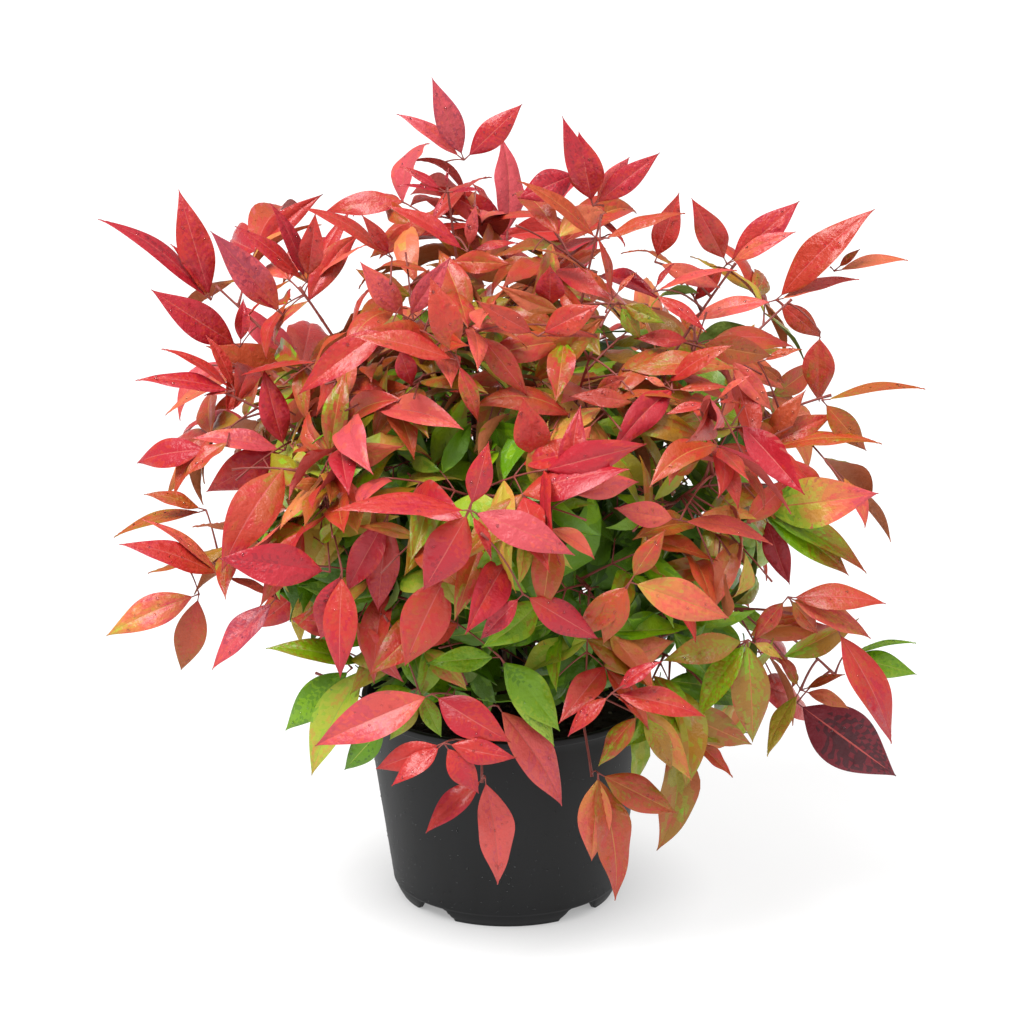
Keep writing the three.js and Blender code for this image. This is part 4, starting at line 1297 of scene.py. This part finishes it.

# %% [markdown]
# A leaflet turns unevenly: it is greener or redder towards its base, its tip and its margin, and
# mottled in between. The mottling is a sum of waves that run along and across the blade, strongest
# where green and red meet and faint on leaflets that are all green or all red. Some leaflets take
# lighter copies of the tints all over, a painted sheen for the pale pink of blades that catch the
# light, and most have a lighter midrib.

# %% A leaflet's mesh and its tints
MOTTLE = {"strength": (0.1, 0.75), "power": 1.6, "pitches": (5, 9, 16, 27), "lean": 0.8, "across": 0.35}
FRECKLED = {"share": 0.1, "strength": 1.1}
MOTTLED = {"turned": [1.8, 6, 9, 10.4, 11.6], "share": [0.3, 1, 0.9, 0.5, 0.35]}
GRAIN = {"along": 91.7, "across": 47.3, "strength": 0.3}
BASE_TINT = {"least": -0.6, "most": 2.6, "reach": 0.45}
MARGIN_TINT, TIP_TINT = 1.1, 1.2
# how many leaflets take the lighter copies of the tints, a painted sheen
PAINTED_SHEEN_SHARE = {"shown": 0.24, "other": 0.3}
RIB = {"share": 0.75, "end": 0.86}
SIDE_BORDERS = (5, 8.5)  # where ribs and undersides go from green to brick, and from brick to red
FULL_TURN = 6.3


def leaf_corners(leaf, pattern):
    sheets = []
    for name, side in (("top", 1), ("under", -1)):
        places = pattern[name]
        ridge = places["ridge"] * LEAF["vein_height"]
        sheets.append(leaf_surface(leaf, places["u"], places["v"], ridge, side))
    return np.vstack(sheets)


def leaf_picks(leaf, pattern, turned_to, draw):
    """The tint number of every face of a leaflet that has turned so far."""
    u, v = pattern["face_u"], pattern["face_v"]
    mottle = lerp(*MOTTLE["strength"], draw() ** MOTTLE["power"])
    if draw() < FRECKLED["share"]:
        mottle = FRECKLED["strength"]
    mottle *= np.interp(turned_to, MOTTLED["turned"], MOTTLED["share"])
    field = np.zeros(len(u))
    for pitch in MOTTLE["pitches"]:
        lean = spread(MOTTLE["lean"], draw)
        along = np.sin(pitch * (u + lean * v) + FULL_TURN * draw())
        field += along * np.sin(pitch * MOTTLE["across"] * v + FULL_TURN * draw())
    grain = np.sin(u * GRAIN["along"] + v * GRAIN["across"] + FULL_TURN * draw()) * GRAIN["strength"]
    base = lerp(BASE_TINT["least"], BASE_TINT["most"], draw() ** 2)
    base = base * np.clip(BASE_TINT["reach"] - u, 0, 1) / BASE_TINT["reach"]
    margin = spread(MARGIN_TINT, draw) * np.abs(v) ** 3
    to_tip = leaf.get("to_tip", 0) + spread(TIP_TINT, draw)
    steps = turned_to + mottle * field + grain - base + margin + to_tip * (u - 0.5)
    ripest = LAST_TINT if turned_to > REDDEST else REDDEST
    picks = np.clip(np.round(steps), 0, ripest).astype(int)
    # a share of the leaflets take the lighter copies of the tints all over, a painted sheen
    if draw() < PAINTED_SHEEN_SHARE["shown" if "turned_to" in leaf else "other"]:
        picks += FIRST_PAINTED_SHEEN
    side = sum(turned_to >= border for border in SIDE_BORDERS)
    rib = (np.abs(v) < FINE_LINE[1]) & (u < RIB["end"])
    if draw() < RIB["share"]:
        picks[rib] = FIRST_RIB + side
    under = np.full(pattern["under_count"], FIRST_UNDERSIDE + side)
    return np.concatenate([picks, under])


print("mottling has", len(MOTTLE["pitches"]), "waves")

# %% [markdown]
# Now each mass becomes one piece. A leaflet's own light gives how far it has turned within the hues
# of its mass, and a show leaflet keeps the turning of its row, each with a little chance.

# %% Foliage pieces
HEART_STEPS = 7.5
LEAST_TURNED = 1.2
TURN_STRAY = {"shown": 0.5, "other": 1.5}
FINE_ABOVE = 0.3  # the light above which a leaflet gets the fine grid
leaf_faces = 0
for mass in grown:
    name = mass["limb"]["mass"]["name"]
    tint_draw = seeded_random(FINE_SEED * 2 + mass["index"])
    picks, shapes = [], []
    for leaf in mass["leaves"]:
        hue = mass["limb"]["mass"]["hue"]
        turned_to = turned_by(hue, leaf["light"]) + spread(TURN_STRAY["other"], tint_draw)
        turned_to = max(turned_to - HEART_STEPS * leaf["heart"], LEAST_TURNED)
        turned_to = min(turned_to, LAST_TINT if hue == "wine" else REDDEST)
        pattern = FINE_GRID if leaf["light"] > FINE_ABOVE else PLAIN_GRID
        if "turned_to" in leaf:
            turned_to = leaf["turned_to"] + spread(TURN_STRAY["shown"], tint_draw)
            pattern = SHOW_GRID
        shapes.append((leaf_corners(leaf, pattern), pattern["faces"]))
        picks.append(leaf_picks(leaf, pattern, turned_to, tint_draw))
    corners, faces = joined(shapes)
    make_piece(f"foliage_{name}", corners, faces, leaf_materials, "leaf", [f"leaves_{name}"],
               np.concatenate(picks))
    leaf_faces += len(faces)
print("leaflets made:", len(all_leaves), "triangles:", leaf_faces * 2)

# %% [markdown]
# ## Twigs, canes and boughs
# All wood here is a tube round a curve. The thin stalks are smooth and red, with a slight swelling
# where leaflets join. The canes are brown and rough: old leaf bases leave rings round them, and the
# bark splits lengthwise. Those ridges are real relief in the mesh, as they show on the outline.

# %% Tubes
def tube(points, radii, sides, relief=None):
    """Corners and faces of a tube with closed ends. relief gives a height for each ring and side."""
    points = np.asarray(points)
    headings = np.gradient(points, axis=0)
    headings /= np.linalg.norm(headings, axis=1)[:, None]
    side = start_of_turn(headings[0])
    turns = np.linspace(0, 2 * np.pi, sides, endpoint=False)
    rings = []
    for k, point in enumerate(points):
        side = square_to(side, headings[k])
        across = np.cross(headings[k], side)
        arms = np.cos(turns)[:, None] * side + np.sin(turns)[:, None] * across
        radius = radii[k] if relief is None else (radii[k] + relief[k])[:, None]
        rings.append(point + arms * radius)
    corners = np.vstack(rings + [points[:1], points[-1:]])
    here = np.arange(sides)
    beside = (here + 1) % sides
    faces = [np.stack([here, beside, beside + sides, here + sides], 1) + k * sides
             for k in range(len(points) - 1)]
    first, last = len(corners) - 2, len(corners) - 1
    top = (len(points) - 1) * sides
    faces.append(np.stack([beside, here, np.full(sides, first), np.full(sides, first)], 1))
    faces.append(np.stack([here + top, beside + top, np.full(sides, last), np.full(sides, last)], 1))
    return corners, np.vstack(faces)


STALK = {"stem": 1.25, "stalk": 0.85, "twig": 0.6, "short": 30, "end_share": 0.6, "sides": 6}
SWELL = {"height": 0.35, "fade": 14}


def stalk_tube(curve, radius, rings):
    shares = np.linspace(0, 1, rings)
    ends = np.exp(-shares * SWELL["fade"]) + np.exp(-(1 - shares) * SWELL["fade"])
    radii = radius * lerp(1, STALK["end_share"], shares)
    radii = radii + SWELL["height"] * radius * ends
    return tube(curve.many(rings), radii, STALK["sides"])


print("a stalk is a tube of", STALK["sides"], "sides")

# %% [markdown]
# All the stalks of a mass are one piece. Only the part of a stem that carries something is made, as
# a bare end would stick out of the crown. The red of young wood is plain, so its life comes from a
# fine bump and an uneven gloss.

# %% Stalks
STEM_RINGS, STALK_RINGS = 14, 7
STEM_SAMPLES, CARRIES_WITHIN, LEAST_STEM = 40, 4, 6


def stalk_material():
    material, shader = new_material("red stalk", {"Base Color": linear("8c3f36")})
    noise = add_node(material, "TexNoise", {"Scale": 300})
    gloss = add_node(material, "MapRange", {"To Min": 0.4, "To Max": 0.62})
    bump = add_node(material, "Bump", {"Strength": 0.3, "Distance": 0.0004})
    wire(material,
         (noise, "Fac", gloss, "Value"), (gloss, "Result", shader, "Roughness"),
         (noise, "Fac", bump, "Height"), (bump, "Normal", shader, "Normal"))
    return material


def used_stem(mass):
    """The stem of a mass as far as the last stalk or leaflet on it."""
    starts = [stalk.at(0) for stalk in mass["twigs"]] + [leaf["root"] for leaf in mass["leaves"]]
    samples = mass["stem"].many(STEM_SAMPLES)
    gaps = np.linalg.norm(np.array(starts)[:, None] - samples, axis=2).min(0)
    used = np.flatnonzero(gaps < CARRIES_WITHIN)
    return mass["stem"].stretch(0, max(used.max(initial=0), LEAST_STEM) / (STEM_SAMPLES - 1))


red_stalk = stalk_material()
for mass in grown:
    name = mass["limb"]["mass"]["name"]
    tubes = [stalk_tube(used_stem(mass), STALK["stem"], STEM_RINGS)]
    for stalk in mass["twigs"]:
        radius = STALK["twig"] if stalk.length() < STALK["short"] else STALK["stalk"]
        tubes.append(stalk_tube(stalk, radius, STALK_RINGS))
    corners, faces = joined(tubes)
    make_piece(f"stalks_{name}", corners, faces, [red_stalk], "bough_bark")
print("stalks made on", len(grown), "masses")

# %% [markdown]
# The bark of the canes gets three kinds of relief: long furrows, rings where leaves once stood, and
# a fine roughness. All of it is worked out from sines and seeded numbers along and round the cane.

# %% Cane and bough relief
BARK = {"sides": 20, "ring_step": 2.2, "grit": 0.12, "seed": 900, "roughness": 0.75}
ANY_PHASE, ANY_SEED = 6, 1e6  # a draw times these gives a place on a wave, or a seed
DRIFT = {"width": 1.6, "length": (30, 55)}  # how the furrows wander round the cane
FURROWS = {"height": 0.32, "waves": ((5, 1, 0.6), (3, -1.4, 0.4)), "sunk": 0.7}
SCARS = {"height": 0.4, "step": 24, "lean": 0.12, "sharpness": 9}


def bark_relief(length, rings, radii, draw):
    along = np.linspace(0, length, rings)[:, None]
    round_ = np.linspace(0, 2 * np.pi, BARK["sides"], endpoint=False)[None]
    drift = DRIFT["width"] * np.sin(along / lerp(*DRIFT["length"], draw()) + ANY_PHASE * draw())
    furrows = sum(np.sin(round_ * count + drift * way) * height for count, way, height in FURROWS["waves"])
    phase = along / SCARS["step"] + draw() + SCARS["lean"] * np.sin(round_ + ANY_PHASE * draw())
    scars = np.exp(-((phase % 1 - 0.5) * SCARS["sharpness"]) ** 2)
    grit = np.random.default_rng(int(ANY_SEED * draw())).normal(size=(rings, BARK["sides"]))
    relief = FURROWS["height"] * (furrows - FURROWS["sunk"]) + SCARS["height"] * scars
    return (radii / CANE["foot"])[:, None] * (relief + BARK["grit"] * grit)


def bark_material(name, deep, middle, pale, scale):
    material, shader = new_material(name, {"Roughness": BARK["roughness"]})
    place = add_node(material, "TexCoord")
    stretch = add_node(material, "Mapping", {"Scale": (1, 1, 0.18)})
    noise = add_node(material, "TexNoise", {"Scale": scale, "Detail": 8})
    colours = add_ramp(material, [(0.32, deep), (0.52, middle), (0.72, pale)])
    bump = add_node(material, "Bump", {"Strength": 0.6, "Distance": 0.001})
    wire(material,
         (place, "Object", stretch, "Vector"), (stretch, "Vector", noise, "Vector"),
         (noise, "Fac", colours, "Fac"), (colours, "Color", shader, "Base Color"),
         (noise, "Fac", bump, "Height"), (bump, "Normal", shader, "Normal"))
    return material


cane_bark = bark_material("cane bark", "2c1a12", "5c3c2a", "96704e", 260)
bough_bark = bark_material("bough bark", "4a1c18", "84443a", "a8745a", 320)

for index, limb in enumerate(limbs):
    on_cane = limb["mass"]["on_cane"]
    bare = limb["arch"].stretch(0, limb["sizes"]["split"])
    length = bare.length()
    rings = int(length / BARK["ring_step"]) + 2
    radii = np.array([radius_at(limb["sizes"], share) for share in np.linspace(0, 1, rings)])
    relief = bark_relief(length, rings, radii, seeded_random(BARK["seed"] + index))
    corners, faces = tube(bare.many(rings), radii, BARK["sides"], relief)
    kind = "cane" if on_cane else "bough"
    name = limb["mass"]["name"]
    bark = cane_bark if on_cane else bough_bark
    make_piece(f"bark_{kind}_{name}", corners, faces, [bark], f"{kind}_bark", [f"{kind}_{name}"])
print("bark made on", len(limbs), "limbs")

# %% [markdown]
# ## The pot
# A nursery pot is blow-moulded or injection-moulded black plastic: a thin tapering wall, a small
# rolled lip, a step near the ground and a foot ring with four gaps that let water out. A turned
# outline gives all but the gaps, and those are made by lifting the ring's lower edge where they lie.

# %% Pot outline
NOTCH = {"bearing": 41.5, "foot_width": 34, "top_width": 21, "height": 9}
WALL = 2.4
LIP = {"height": 5, "start": 0.6, "proud": 0.35, "over": 0.5, "lower": 0.9, "upper": 1.0, "inner": 0.8}
FLOOR_UNDER, FLOOR_TOP, FLOOR_MIDDLE, AXIS = 10, 12.5, 40, 0.01
SHOULDER = [(75.4, 1), (76, 2.2), (77, 3.5), (78, 5.6), (78.8, 8), (79, 9)]  # foot ring to wall
WALL_START = (80.25, 10.6)
WALL_HEIGHTS = (11.5, POT["height"] - LIP["height"] - 1.6, 26)  # from, to and how many
POT_SEGMENTS = 240


def arc(centre, radius, start, end, count):
    angles = np.radians(np.linspace(start, end, count))
    return [(centre[0] + radius * math.cos(a), centre[1] + radius * math.sin(a)) for a in angles]


def pot_outline():
    """The half section from the foot up the outside, over the lip, down the inside and under."""
    rim, height, foot = POT["rim_radius"], POT["height"], POT["foot_radius"]
    under_lip = height - LIP["height"]
    wall = [(POT["step_radius"], POT["step_height"]), WALL_START]
    wall += [(pot_radius_at(h), h) for h in np.linspace(*WALL_HEIGHTS)]
    lip = [(pot_radius_at(under_lip - LIP["start"]) + LIP["proud"], under_lip - LIP["start"])]
    lip += arc((pot_radius_at(under_lip) + LIP["start"], under_lip + LIP["lower"]), LIP["lower"], -90, 0, 5)
    lip += arc((rim + LIP["over"], height - LIP["upper"]), LIP["upper"], 0, 90, 6)
    inner = arc((rim - WALL + LIP["inner"], height - LIP["inner"]), LIP["inner"], 90, 180, 4)
    inner += [(pot_radius_at(h) - WALL, h) for h in np.linspace(height - 2, FLOOR_TOP, 8)]
    floor = [(FLOOR_MIDDLE, FLOOR_TOP), (AXIS, FLOOR_TOP), (AXIS, FLOOR_UNDER), (FLOOR_MIDDLE, FLOOR_UNDER)]
    ring = [(foot - WALL, FLOOR_UNDER), (foot - WALL, 0)]
    return [(foot, 0)] + SHOULDER + wall + lip + inner + floor + ring


def gap_height(bearing):
    """How high the foot ring's gap is over the ground at a bearing, in millimetres."""
    for middle in (-90, 90):
        for side in (-1, 1):
            centre = middle + side * NOTCH["bearing"]
            off = math.radians(bearing_gap(bearing, centre)) * POT["foot_radius"]
            slope = NOTCH["height"] / ((NOTCH["foot_width"] - NOTCH["top_width"]) / 2)
            height = (NOTCH["foot_width"] / 2 - off) * slope
            if height > 0:
                return min(height, NOTCH["height"])
    return 0.0


print("the foot ring's gap is", gap_height(NOTCH["bearing"] - 90), "mm high at its middle")

# %% [markdown]
# The outline is turned round the axis in many narrow steps. Corners of the foot ring that lie in a
# gap are lifted to its edge, so the gaps need no cutting and the mesh stays clean.

# %% Turn the pot
outline = pot_outline()
bearings = np.linspace(0, 360, POT_SEGMENTS, endpoint=False)
pot_corners = []
for bearing in bearings:
    gap = gap_height(bearing)
    for radius, height in outline:
        in_ring = height < gap
        pot_corners.append(polar(bearing, radius, gap if in_ring else height))
count = len(outline)
here = np.arange(count)
pot_faces = []
for k in range(POT_SEGMENTS):
    beside = (k + 1) % POT_SEGMENTS
    a, b = k * count + here, beside * count + here
    pot_faces.append(np.stack([a, b, np.roll(b, -1), np.roll(a, -1)], 1))
pot_faces = np.vstack(pot_faces)
print("pot outline has", count, "points")

# %% [markdown]
# The plastic is charcoal rather than black, with a soft sheen, a fine moulded grain and faint
# vertical streaks from handling and watering. The colour changes very little, so most of the
# look comes from roughness and bump.

# %% Pot material
def pot_material():
    material, shader = new_material("charcoal plastic", {"Specular IOR Level": 0.3})
    place = add_node(material, "TexCoord")
    streaks = add_node(material, "Mapping", {"Scale": (1, 1, 0.12)})
    broad = add_node(material, "TexNoise", {"Scale": 45, "Detail": 6})
    grain = add_node(material, "TexNoise", {"Scale": 1500, "Detail": 2})
    colours = add_ramp(material, [(0.3, "0c0d0e"), (0.75, "18191b")])
    gloss = add_node(material, "MapRange", {"To Min": 0.45, "To Max": 0.62})
    bump = add_node(material, "Bump", {"Strength": 0.18, "Distance": 0.0004})
    wire(material,
         (place, "Object", streaks, "Vector"), (streaks, "Vector", broad, "Vector"),
         (place, "Object", grain, "Vector"), (broad, "Fac", colours, "Fac"),
         (colours, "Color", shader, "Base Color"), (broad, "Fac", gloss, "Value"),
         (gloss, "Result", shader, "Roughness"), (grain, "Fac", bump, "Height"),
         (bump, "Normal", shader, "Normal"))
    return material


charcoal = pot_material()
make_piece("nursery_pot", pot_corners, pot_faces, [charcoal], "pot", ["pot"])
print("the pot has", len(pot_faces), "faces")

# %% [markdown]
# ## The potting mix
# The mix is dark, moist and crumbly. Its surface is made as rings of corners whose height comes from
# sines of different lengths, which is enough relief for what shows between the leaves, and a skirt
# closes it down to the pot's floor.

# %% Soil surface
SOIL = {"edge_height": 132, "crown": 3, "crown_share": 0.4, "sunk": 0.8, "rings": 44, "segments": 120}
LUMPS = {"height": 1.6, "broad": 0.6, "fine": 0.4, "edge": 8}
BROAD_WAVES = ((0.31, 1.7, 0.23), (0.37, 1.3, 0.19))  # pitch, how far it wanders, and at what pitch
FINE_WAVES = ((0.9, 2, 0.7), (1.1, 2, 0.8))
SOIL_CENTRE = 0.4
SOIL_GAP = 0.6  # between the mix and the pot's wall
soil_edge = pot_radius_at(SOIL["edge_height"]) - WALL - SOIL_GAP


def crumbs(x, y, waves):
    (pitch, wander, bend), (cross_pitch, cross_wander, cross_bend) = waves
    rows = np.sin(x * pitch + wander * np.sin(y * bend))
    return rows * np.sin(y * cross_pitch + cross_wander * np.sin(x * cross_bend))


def soil_height(x, y):
    out = np.hypot(x, y) / soil_edge
    height = SOIL["edge_height"] + SOIL["crown"] * np.clip((1 - out) / SOIL["crown_share"], 0, 1)
    bumps = LUMPS["broad"] * crumbs(x, y, BROAD_WAVES) + LUMPS["fine"] * crumbs(x, y, FINE_WAVES)
    return height + LUMPS["height"] * bumps * np.clip((1 - out) * LUMPS["edge"], 0, 1) - SOIL["sunk"]


ring_radii = np.linspace(SOIL_CENTRE, soil_edge, SOIL["rings"])
turns = np.radians(np.linspace(0, 360, SOIL["segments"], endpoint=False))
radius_grid, turn_grid = np.meshgrid(ring_radii, turns, indexing="ij")
x_grid, y_grid = radius_grid * np.cos(turn_grid), radius_grid * np.sin(turn_grid)
z_grid = soil_height(x_grid, y_grid)
soil_corners = np.stack([x_grid.ravel(), y_grid.ravel(), z_grid.ravel()], 1)
skirt_share = (pot_radius_at(FLOOR_TOP) - WALL - 1) / soil_edge
skirt = soil_corners[-SOIL["segments"]:] * np.array([skirt_share, skirt_share, 0])
skirt = skirt + UP * (FLOOR_TOP + 1)
soil_corners = np.vstack([soil_corners, skirt])
here = np.arange(SOIL["segments"])
beside = (here + 1) % SOIL["segments"]
soil_faces = [np.stack([here, here + SOIL["segments"], beside + SOIL["segments"], beside], 1)
              + k * SOIL["segments"] for k in range(SOIL["rings"])]
soil_faces = np.vstack(soil_faces)


def soil_material(name, deep, pale, scale):
    material, shader = new_material(name, {"Roughness": 0.9})
    noise = add_node(material, "TexNoise", {"Scale": scale, "Detail": 10})
    colours = add_ramp(material, [(0.35, deep), (0.7, pale)])
    bump = add_node(material, "Bump", {"Strength": 0.9, "Distance": 0.002})
    wire(material,
         (noise, "Fac", colours, "Fac"), (colours, "Color", shader, "Base Color"),
         (noise, "Fac", bump, "Height"), (bump, "Normal", shader, "Normal"))
    return material


mix = soil_material("potting mix", "0e0a08", "3a2a1e", 300)
make_piece("potting_mix", soil_corners, soil_faces, [mix], "soil", ["soil"])
print("the mix reaches", round(soil_corners[:, 2].max(), 1), "mm")

# %% [markdown]
# Bark chips and a few pale grains lie on the mix. Each is a block of eight corners, every corner moved
# a little so that no two are alike, turned mostly about the vertical so that it lies flat. As one
# joined mesh with two materials they cost little.

# %% Chips and grains
CHIPS = {"count": 420, "length": (2.5, 9), "uneven": (0.75, 1.25), "out": 0.97, "lift": 0.3, "seed": 7}
CHIP_SHAPE = np.array([1, 0.45, 0.25])
GRAINS = {"share": 0.12, "size": np.array([1, 0.8, 0.7]) * 2.2}
TUMBLE = np.array([0.35, 0.35, 1])
soil_random = np.random.default_rng(CHIPS["seed"])
chip_corners = np.array([[x, y, z] for x in (-1, 1) for y in (-1, 1) for z in (-1, 1)], float) / 2
chip_faces = np.array([[0, 1, 3, 2], [4, 6, 7, 5], [0, 4, 5, 1], [2, 3, 7, 6], [0, 2, 6, 4], [1, 5, 7, 3]])
chips, chip_picks = [], []
for _ in range(CHIPS["count"]):
    out = soil_edge * CHIPS["out"] * math.sqrt(soil_random.random())
    place = polar(360 * soil_random.random(), out, 0)
    length = soil_random.uniform(*CHIPS["length"])
    grain = soil_random.random() < GRAINS["share"]
    size = GRAINS["size"] if grain else length * CHIP_SHAPE
    axis = unit(soil_random.normal(size=3) * TUMBLE)
    shape = chip_corners * size * soil_random.uniform(*CHIPS["uneven"], chip_corners.shape)
    turn = 360 * soil_random.random()
    shape = np.array([turned(corner, axis, turn) for corner in shape])
    place[2] = soil_height(place[:1], place[1:2])[0] + CHIPS["lift"]
    chips.append((shape + place, chip_faces))
    chip_picks += [int(grain)] * len(chip_faces)
bark_chip = soil_material("bark chip", "1e120c", "5a3c28", 420)
pale_grain = soil_material("pale grain", "8e877a", "c9c3b6", 500)
make_piece("mix_chips", *joined(chips), [bark_chip, pale_grain], "soil", picks=chip_picks)
print("chips:", CHIPS["count"])

# %% [markdown]
# ## Water drops
# The plant has been sprayed: small clear beads sit on the outer leaflets and on the pot's wall. Each
# bead is a low dome of a few faces, set on the surface that carries it and joined with the rest. A
# bump in a material would give the same glints, but not the beads that stand out on the pot's edge.

# %% Drops
DOME = {"rings": 3, "sides": 8, "height_share": 0.55}


def dome(centre, normal, radius):
    side = start_of_turn(normal)
    across = np.cross(normal, side)
    corners = []
    for ring in range(DOME["rings"]):
        tilt = math.radians(90 * ring / DOME["rings"])
        for k in range(DOME["sides"]):
            turn = 2 * math.pi * k / DOME["sides"]
            flat = side * math.cos(turn) + across * math.sin(turn)
            corners.append(centre + flat * radius * math.cos(tilt)
                           + normal * radius * DOME["height_share"] * math.sin(tilt))
    corners.append(centre + normal * radius * DOME["height_share"])
    here = np.arange(DOME["sides"])
    beside = (here + 1) % DOME["sides"]
    ring = np.stack([here, beside, beside + DOME["sides"], here + DOME["sides"]], 1)
    faces = [ring + k * DOME["sides"] for k in range(DOME["rings"] - 1)]
    last = (DOME["rings"] - 1) * DOME["sides"]
    tip = np.full(DOME["sides"], len(corners) - 1)
    faces.append(np.stack([here + last, beside + last, tip, tip], 1))
    return np.array(corners), np.vstack(faces)


print("a drop has", len(dome(np.zeros(3), UP, 1.0)[0]), "corners")

# %% [markdown]
# Half of the beads on leaves go to the show leaflets, which face the light, and the rest to other
# outer ones. On the pot they lie closer together towards the foot, where spray runs down.

# %% Drops on leaves and pot
DROPS = {"seed": 21, "shown_share": 0.5, "lit": 0.6}
ON_LEAVES = {"count": 900, "along": (0.2, 0.85), "across": (-0.7, 0.7), "radius": (0.5, 1.2)}
ON_POT = {"count": 800, "from": 12, "rise": 110, "power": 1.6, "radius": (0.3, 0.75)}
STEP_ALONG, STEP_ACROSS = 0.01, 0.02
drop_random = np.random.default_rng(DROPS["seed"])
drops = []
outer_leaves = [leaf for leaf in all_leaves if leaf["light"] > DROPS["lit"]]
shown_leaves = [leaf for leaf in all_leaves if "turned_to" in leaf]
for _ in range(ON_LEAVES["count"]):
    wetted = shown_leaves if drop_random.random() < DROPS["shown_share"] else outer_leaves
    leaf = wetted[drop_random.integers(len(wetted))]
    u, v = drop_random.uniform(*ON_LEAVES["along"]), drop_random.uniform(*ON_LEAVES["across"])
    spots = leaf_surface(leaf, np.array([u, u + STEP_ALONG, u]), np.array([v, v, v + STEP_ACROSS]), 0, 1)
    normal = unit(np.cross(spots[1] - spots[0], spots[2] - spots[0]))
    drops.append(dome(spots[0], normal, drop_random.uniform(*ON_LEAVES["radius"])))
for _ in range(ON_POT["count"]):
    height = ON_POT["from"] + ON_POT["rise"] * drop_random.random() ** ON_POT["power"]
    bearing = 360 * drop_random.random()
    centre = polar(bearing, pot_radius_at(height), height)
    drops.append(dome(centre, polar(bearing, 1, 0), drop_random.uniform(*ON_POT["radius"])))
water, _ = new_material("water", {
    "Base Color": (0.95, 0.97, 1, 1),
    "Roughness": 0.03,
    "IOR": 1.33,
    "Transmission Weight": 1.0,
})
make_piece("water_drops", *joined(drops), [water], "leaf")
print("drops:", len(drops))

# %% [markdown]
# ## Floor, light and camera
# The plant stands on a plain pale floor. A white floor alone would take up the colour of its
# surroundings, so it also glows faintly, which also washes out most of the crown's shadow on it.
# The glow is dimmed where something stands close over the floor: a painted contact shadow, which
# leaves the soft dark edge that a real pot has at its foot.

# %% Floor
FLOOR_HALF = 30.0
FLOOR_GREY = 0.26
CORNER_SIGNS = [(-1, -1), (1, -1), (1, 1), (-1, 1)]
floor_mesh = bpy.data.meshes.new("floor")
floor_mesh.from_pydata([(x * FLOOR_HALF, y * FLOOR_HALF, 0) for x, y in CORNER_SIGNS], [], [(0, 1, 2, 3)])
floor = bpy.data.objects.new("floor", floor_mesh)
bpy.context.scene.collection.objects.link(floor)
floor_paint, floor_shader = new_material("pale floor", {
    "Base Color": (FLOOR_GREY, FLOOR_GREY, FLOOR_GREY, 1),
    "Roughness": 0.9,
    "Specular IOR Level": 0.1,
    "Emission Color": (1, 1, 1, 1),
})
# painted contact shadow: ambient occlusion dims the floor's glow near the pot's foot and anything else
# close over the floor
painted_shadow_openness = add_node(floor_paint, "AmbientOcclusion", {"Distance": 0.07})
glow = add_node(floor_paint, "MapRange", {"To Min": 0.3, "To Max": 0.82})
wire(floor_paint, (painted_shadow_openness, "AO", glow, "Value"), (glow, "Result", floor_shader, "Emission Strength"))
floor_mesh.materials.append(floor_paint)
print("floor made", 2 * FLOOR_HALF, "m wide")

# %% [markdown]
# The light is a studio's: a key from the front left, a wide one from above that reaches in among the
# leaves, and a weak fill from the right. Very wide suns do that with no hot spots and shine the same
# on every leaf, which area lamps close by would not. A pale world lifts the deepest shadows.

# %% World and lamps
WORLD_STRENGTH = 0.4
SUNS = [  # name, azimuth, elevation, angle across and strength
    ("key", -50, 60, 30, 3.5),
    ("top", 0, 88, 70, 0.7),
    ("fill", 40, 35, 70, 0.6),
]
world = bpy.data.worlds.new("studio")
bpy.context.scene.world = world
world.use_nodes = True
set_inputs(world.node_tree.nodes["Background"], {"Color": (1, 1, 1, 1), "Strength": WORLD_STRENGTH})


def soft_sun(name, azimuth, elevation, width, strength):
    """A very wide sun: azimuth 0 is the front and 90 the right, elevation is over the floor."""
    data = bpy.data.lights.new(name, "SUN")
    data.angle = math.radians(width)
    data.energy = strength
    lamp = bpy.data.objects.new(name, data)
    lamp.rotation_euler = (math.radians(90 - elevation), 0, math.radians(azimuth))
    bpy.context.scene.collection.objects.link(lamp)


for sun in SUNS:
    soft_sun(*sun)
print(len(SUNS), "suns")

# %% [markdown]
# The camera stands where the show sprays were placed from, and looks down a little, straight ahead.
# Its lens follows from the scale of the view, so the two can't drift apart.

# %% Camera
SENSOR_WIDTH, CLIP_END = 36, 100
camera_data = bpy.data.cameras.new("camera")
camera_data.sensor_width = SENSOR_WIDTH
camera_data.lens = CAMERA["pixels_per_unit"] / FRAME_SIZE * SENSOR_WIDTH
camera_data.clip_end = CLIP_END
camera = bpy.data.objects.new("camera", camera_data)
camera.location = CAMERA_PLACE * MM + POT_FOOT
camera.rotation_euler = (math.radians(90 - CAMERA["pitch_down"]), 0, 0)
bpy.context.scene.collection.objects.link(camera)
bpy.context.scene.camera = camera
bpy.context.scene.view_settings.view_transform = "Standard"
bpy.context.scene.view_settings.look = "None"
print("lens:", round(camera_data.lens), "mm")
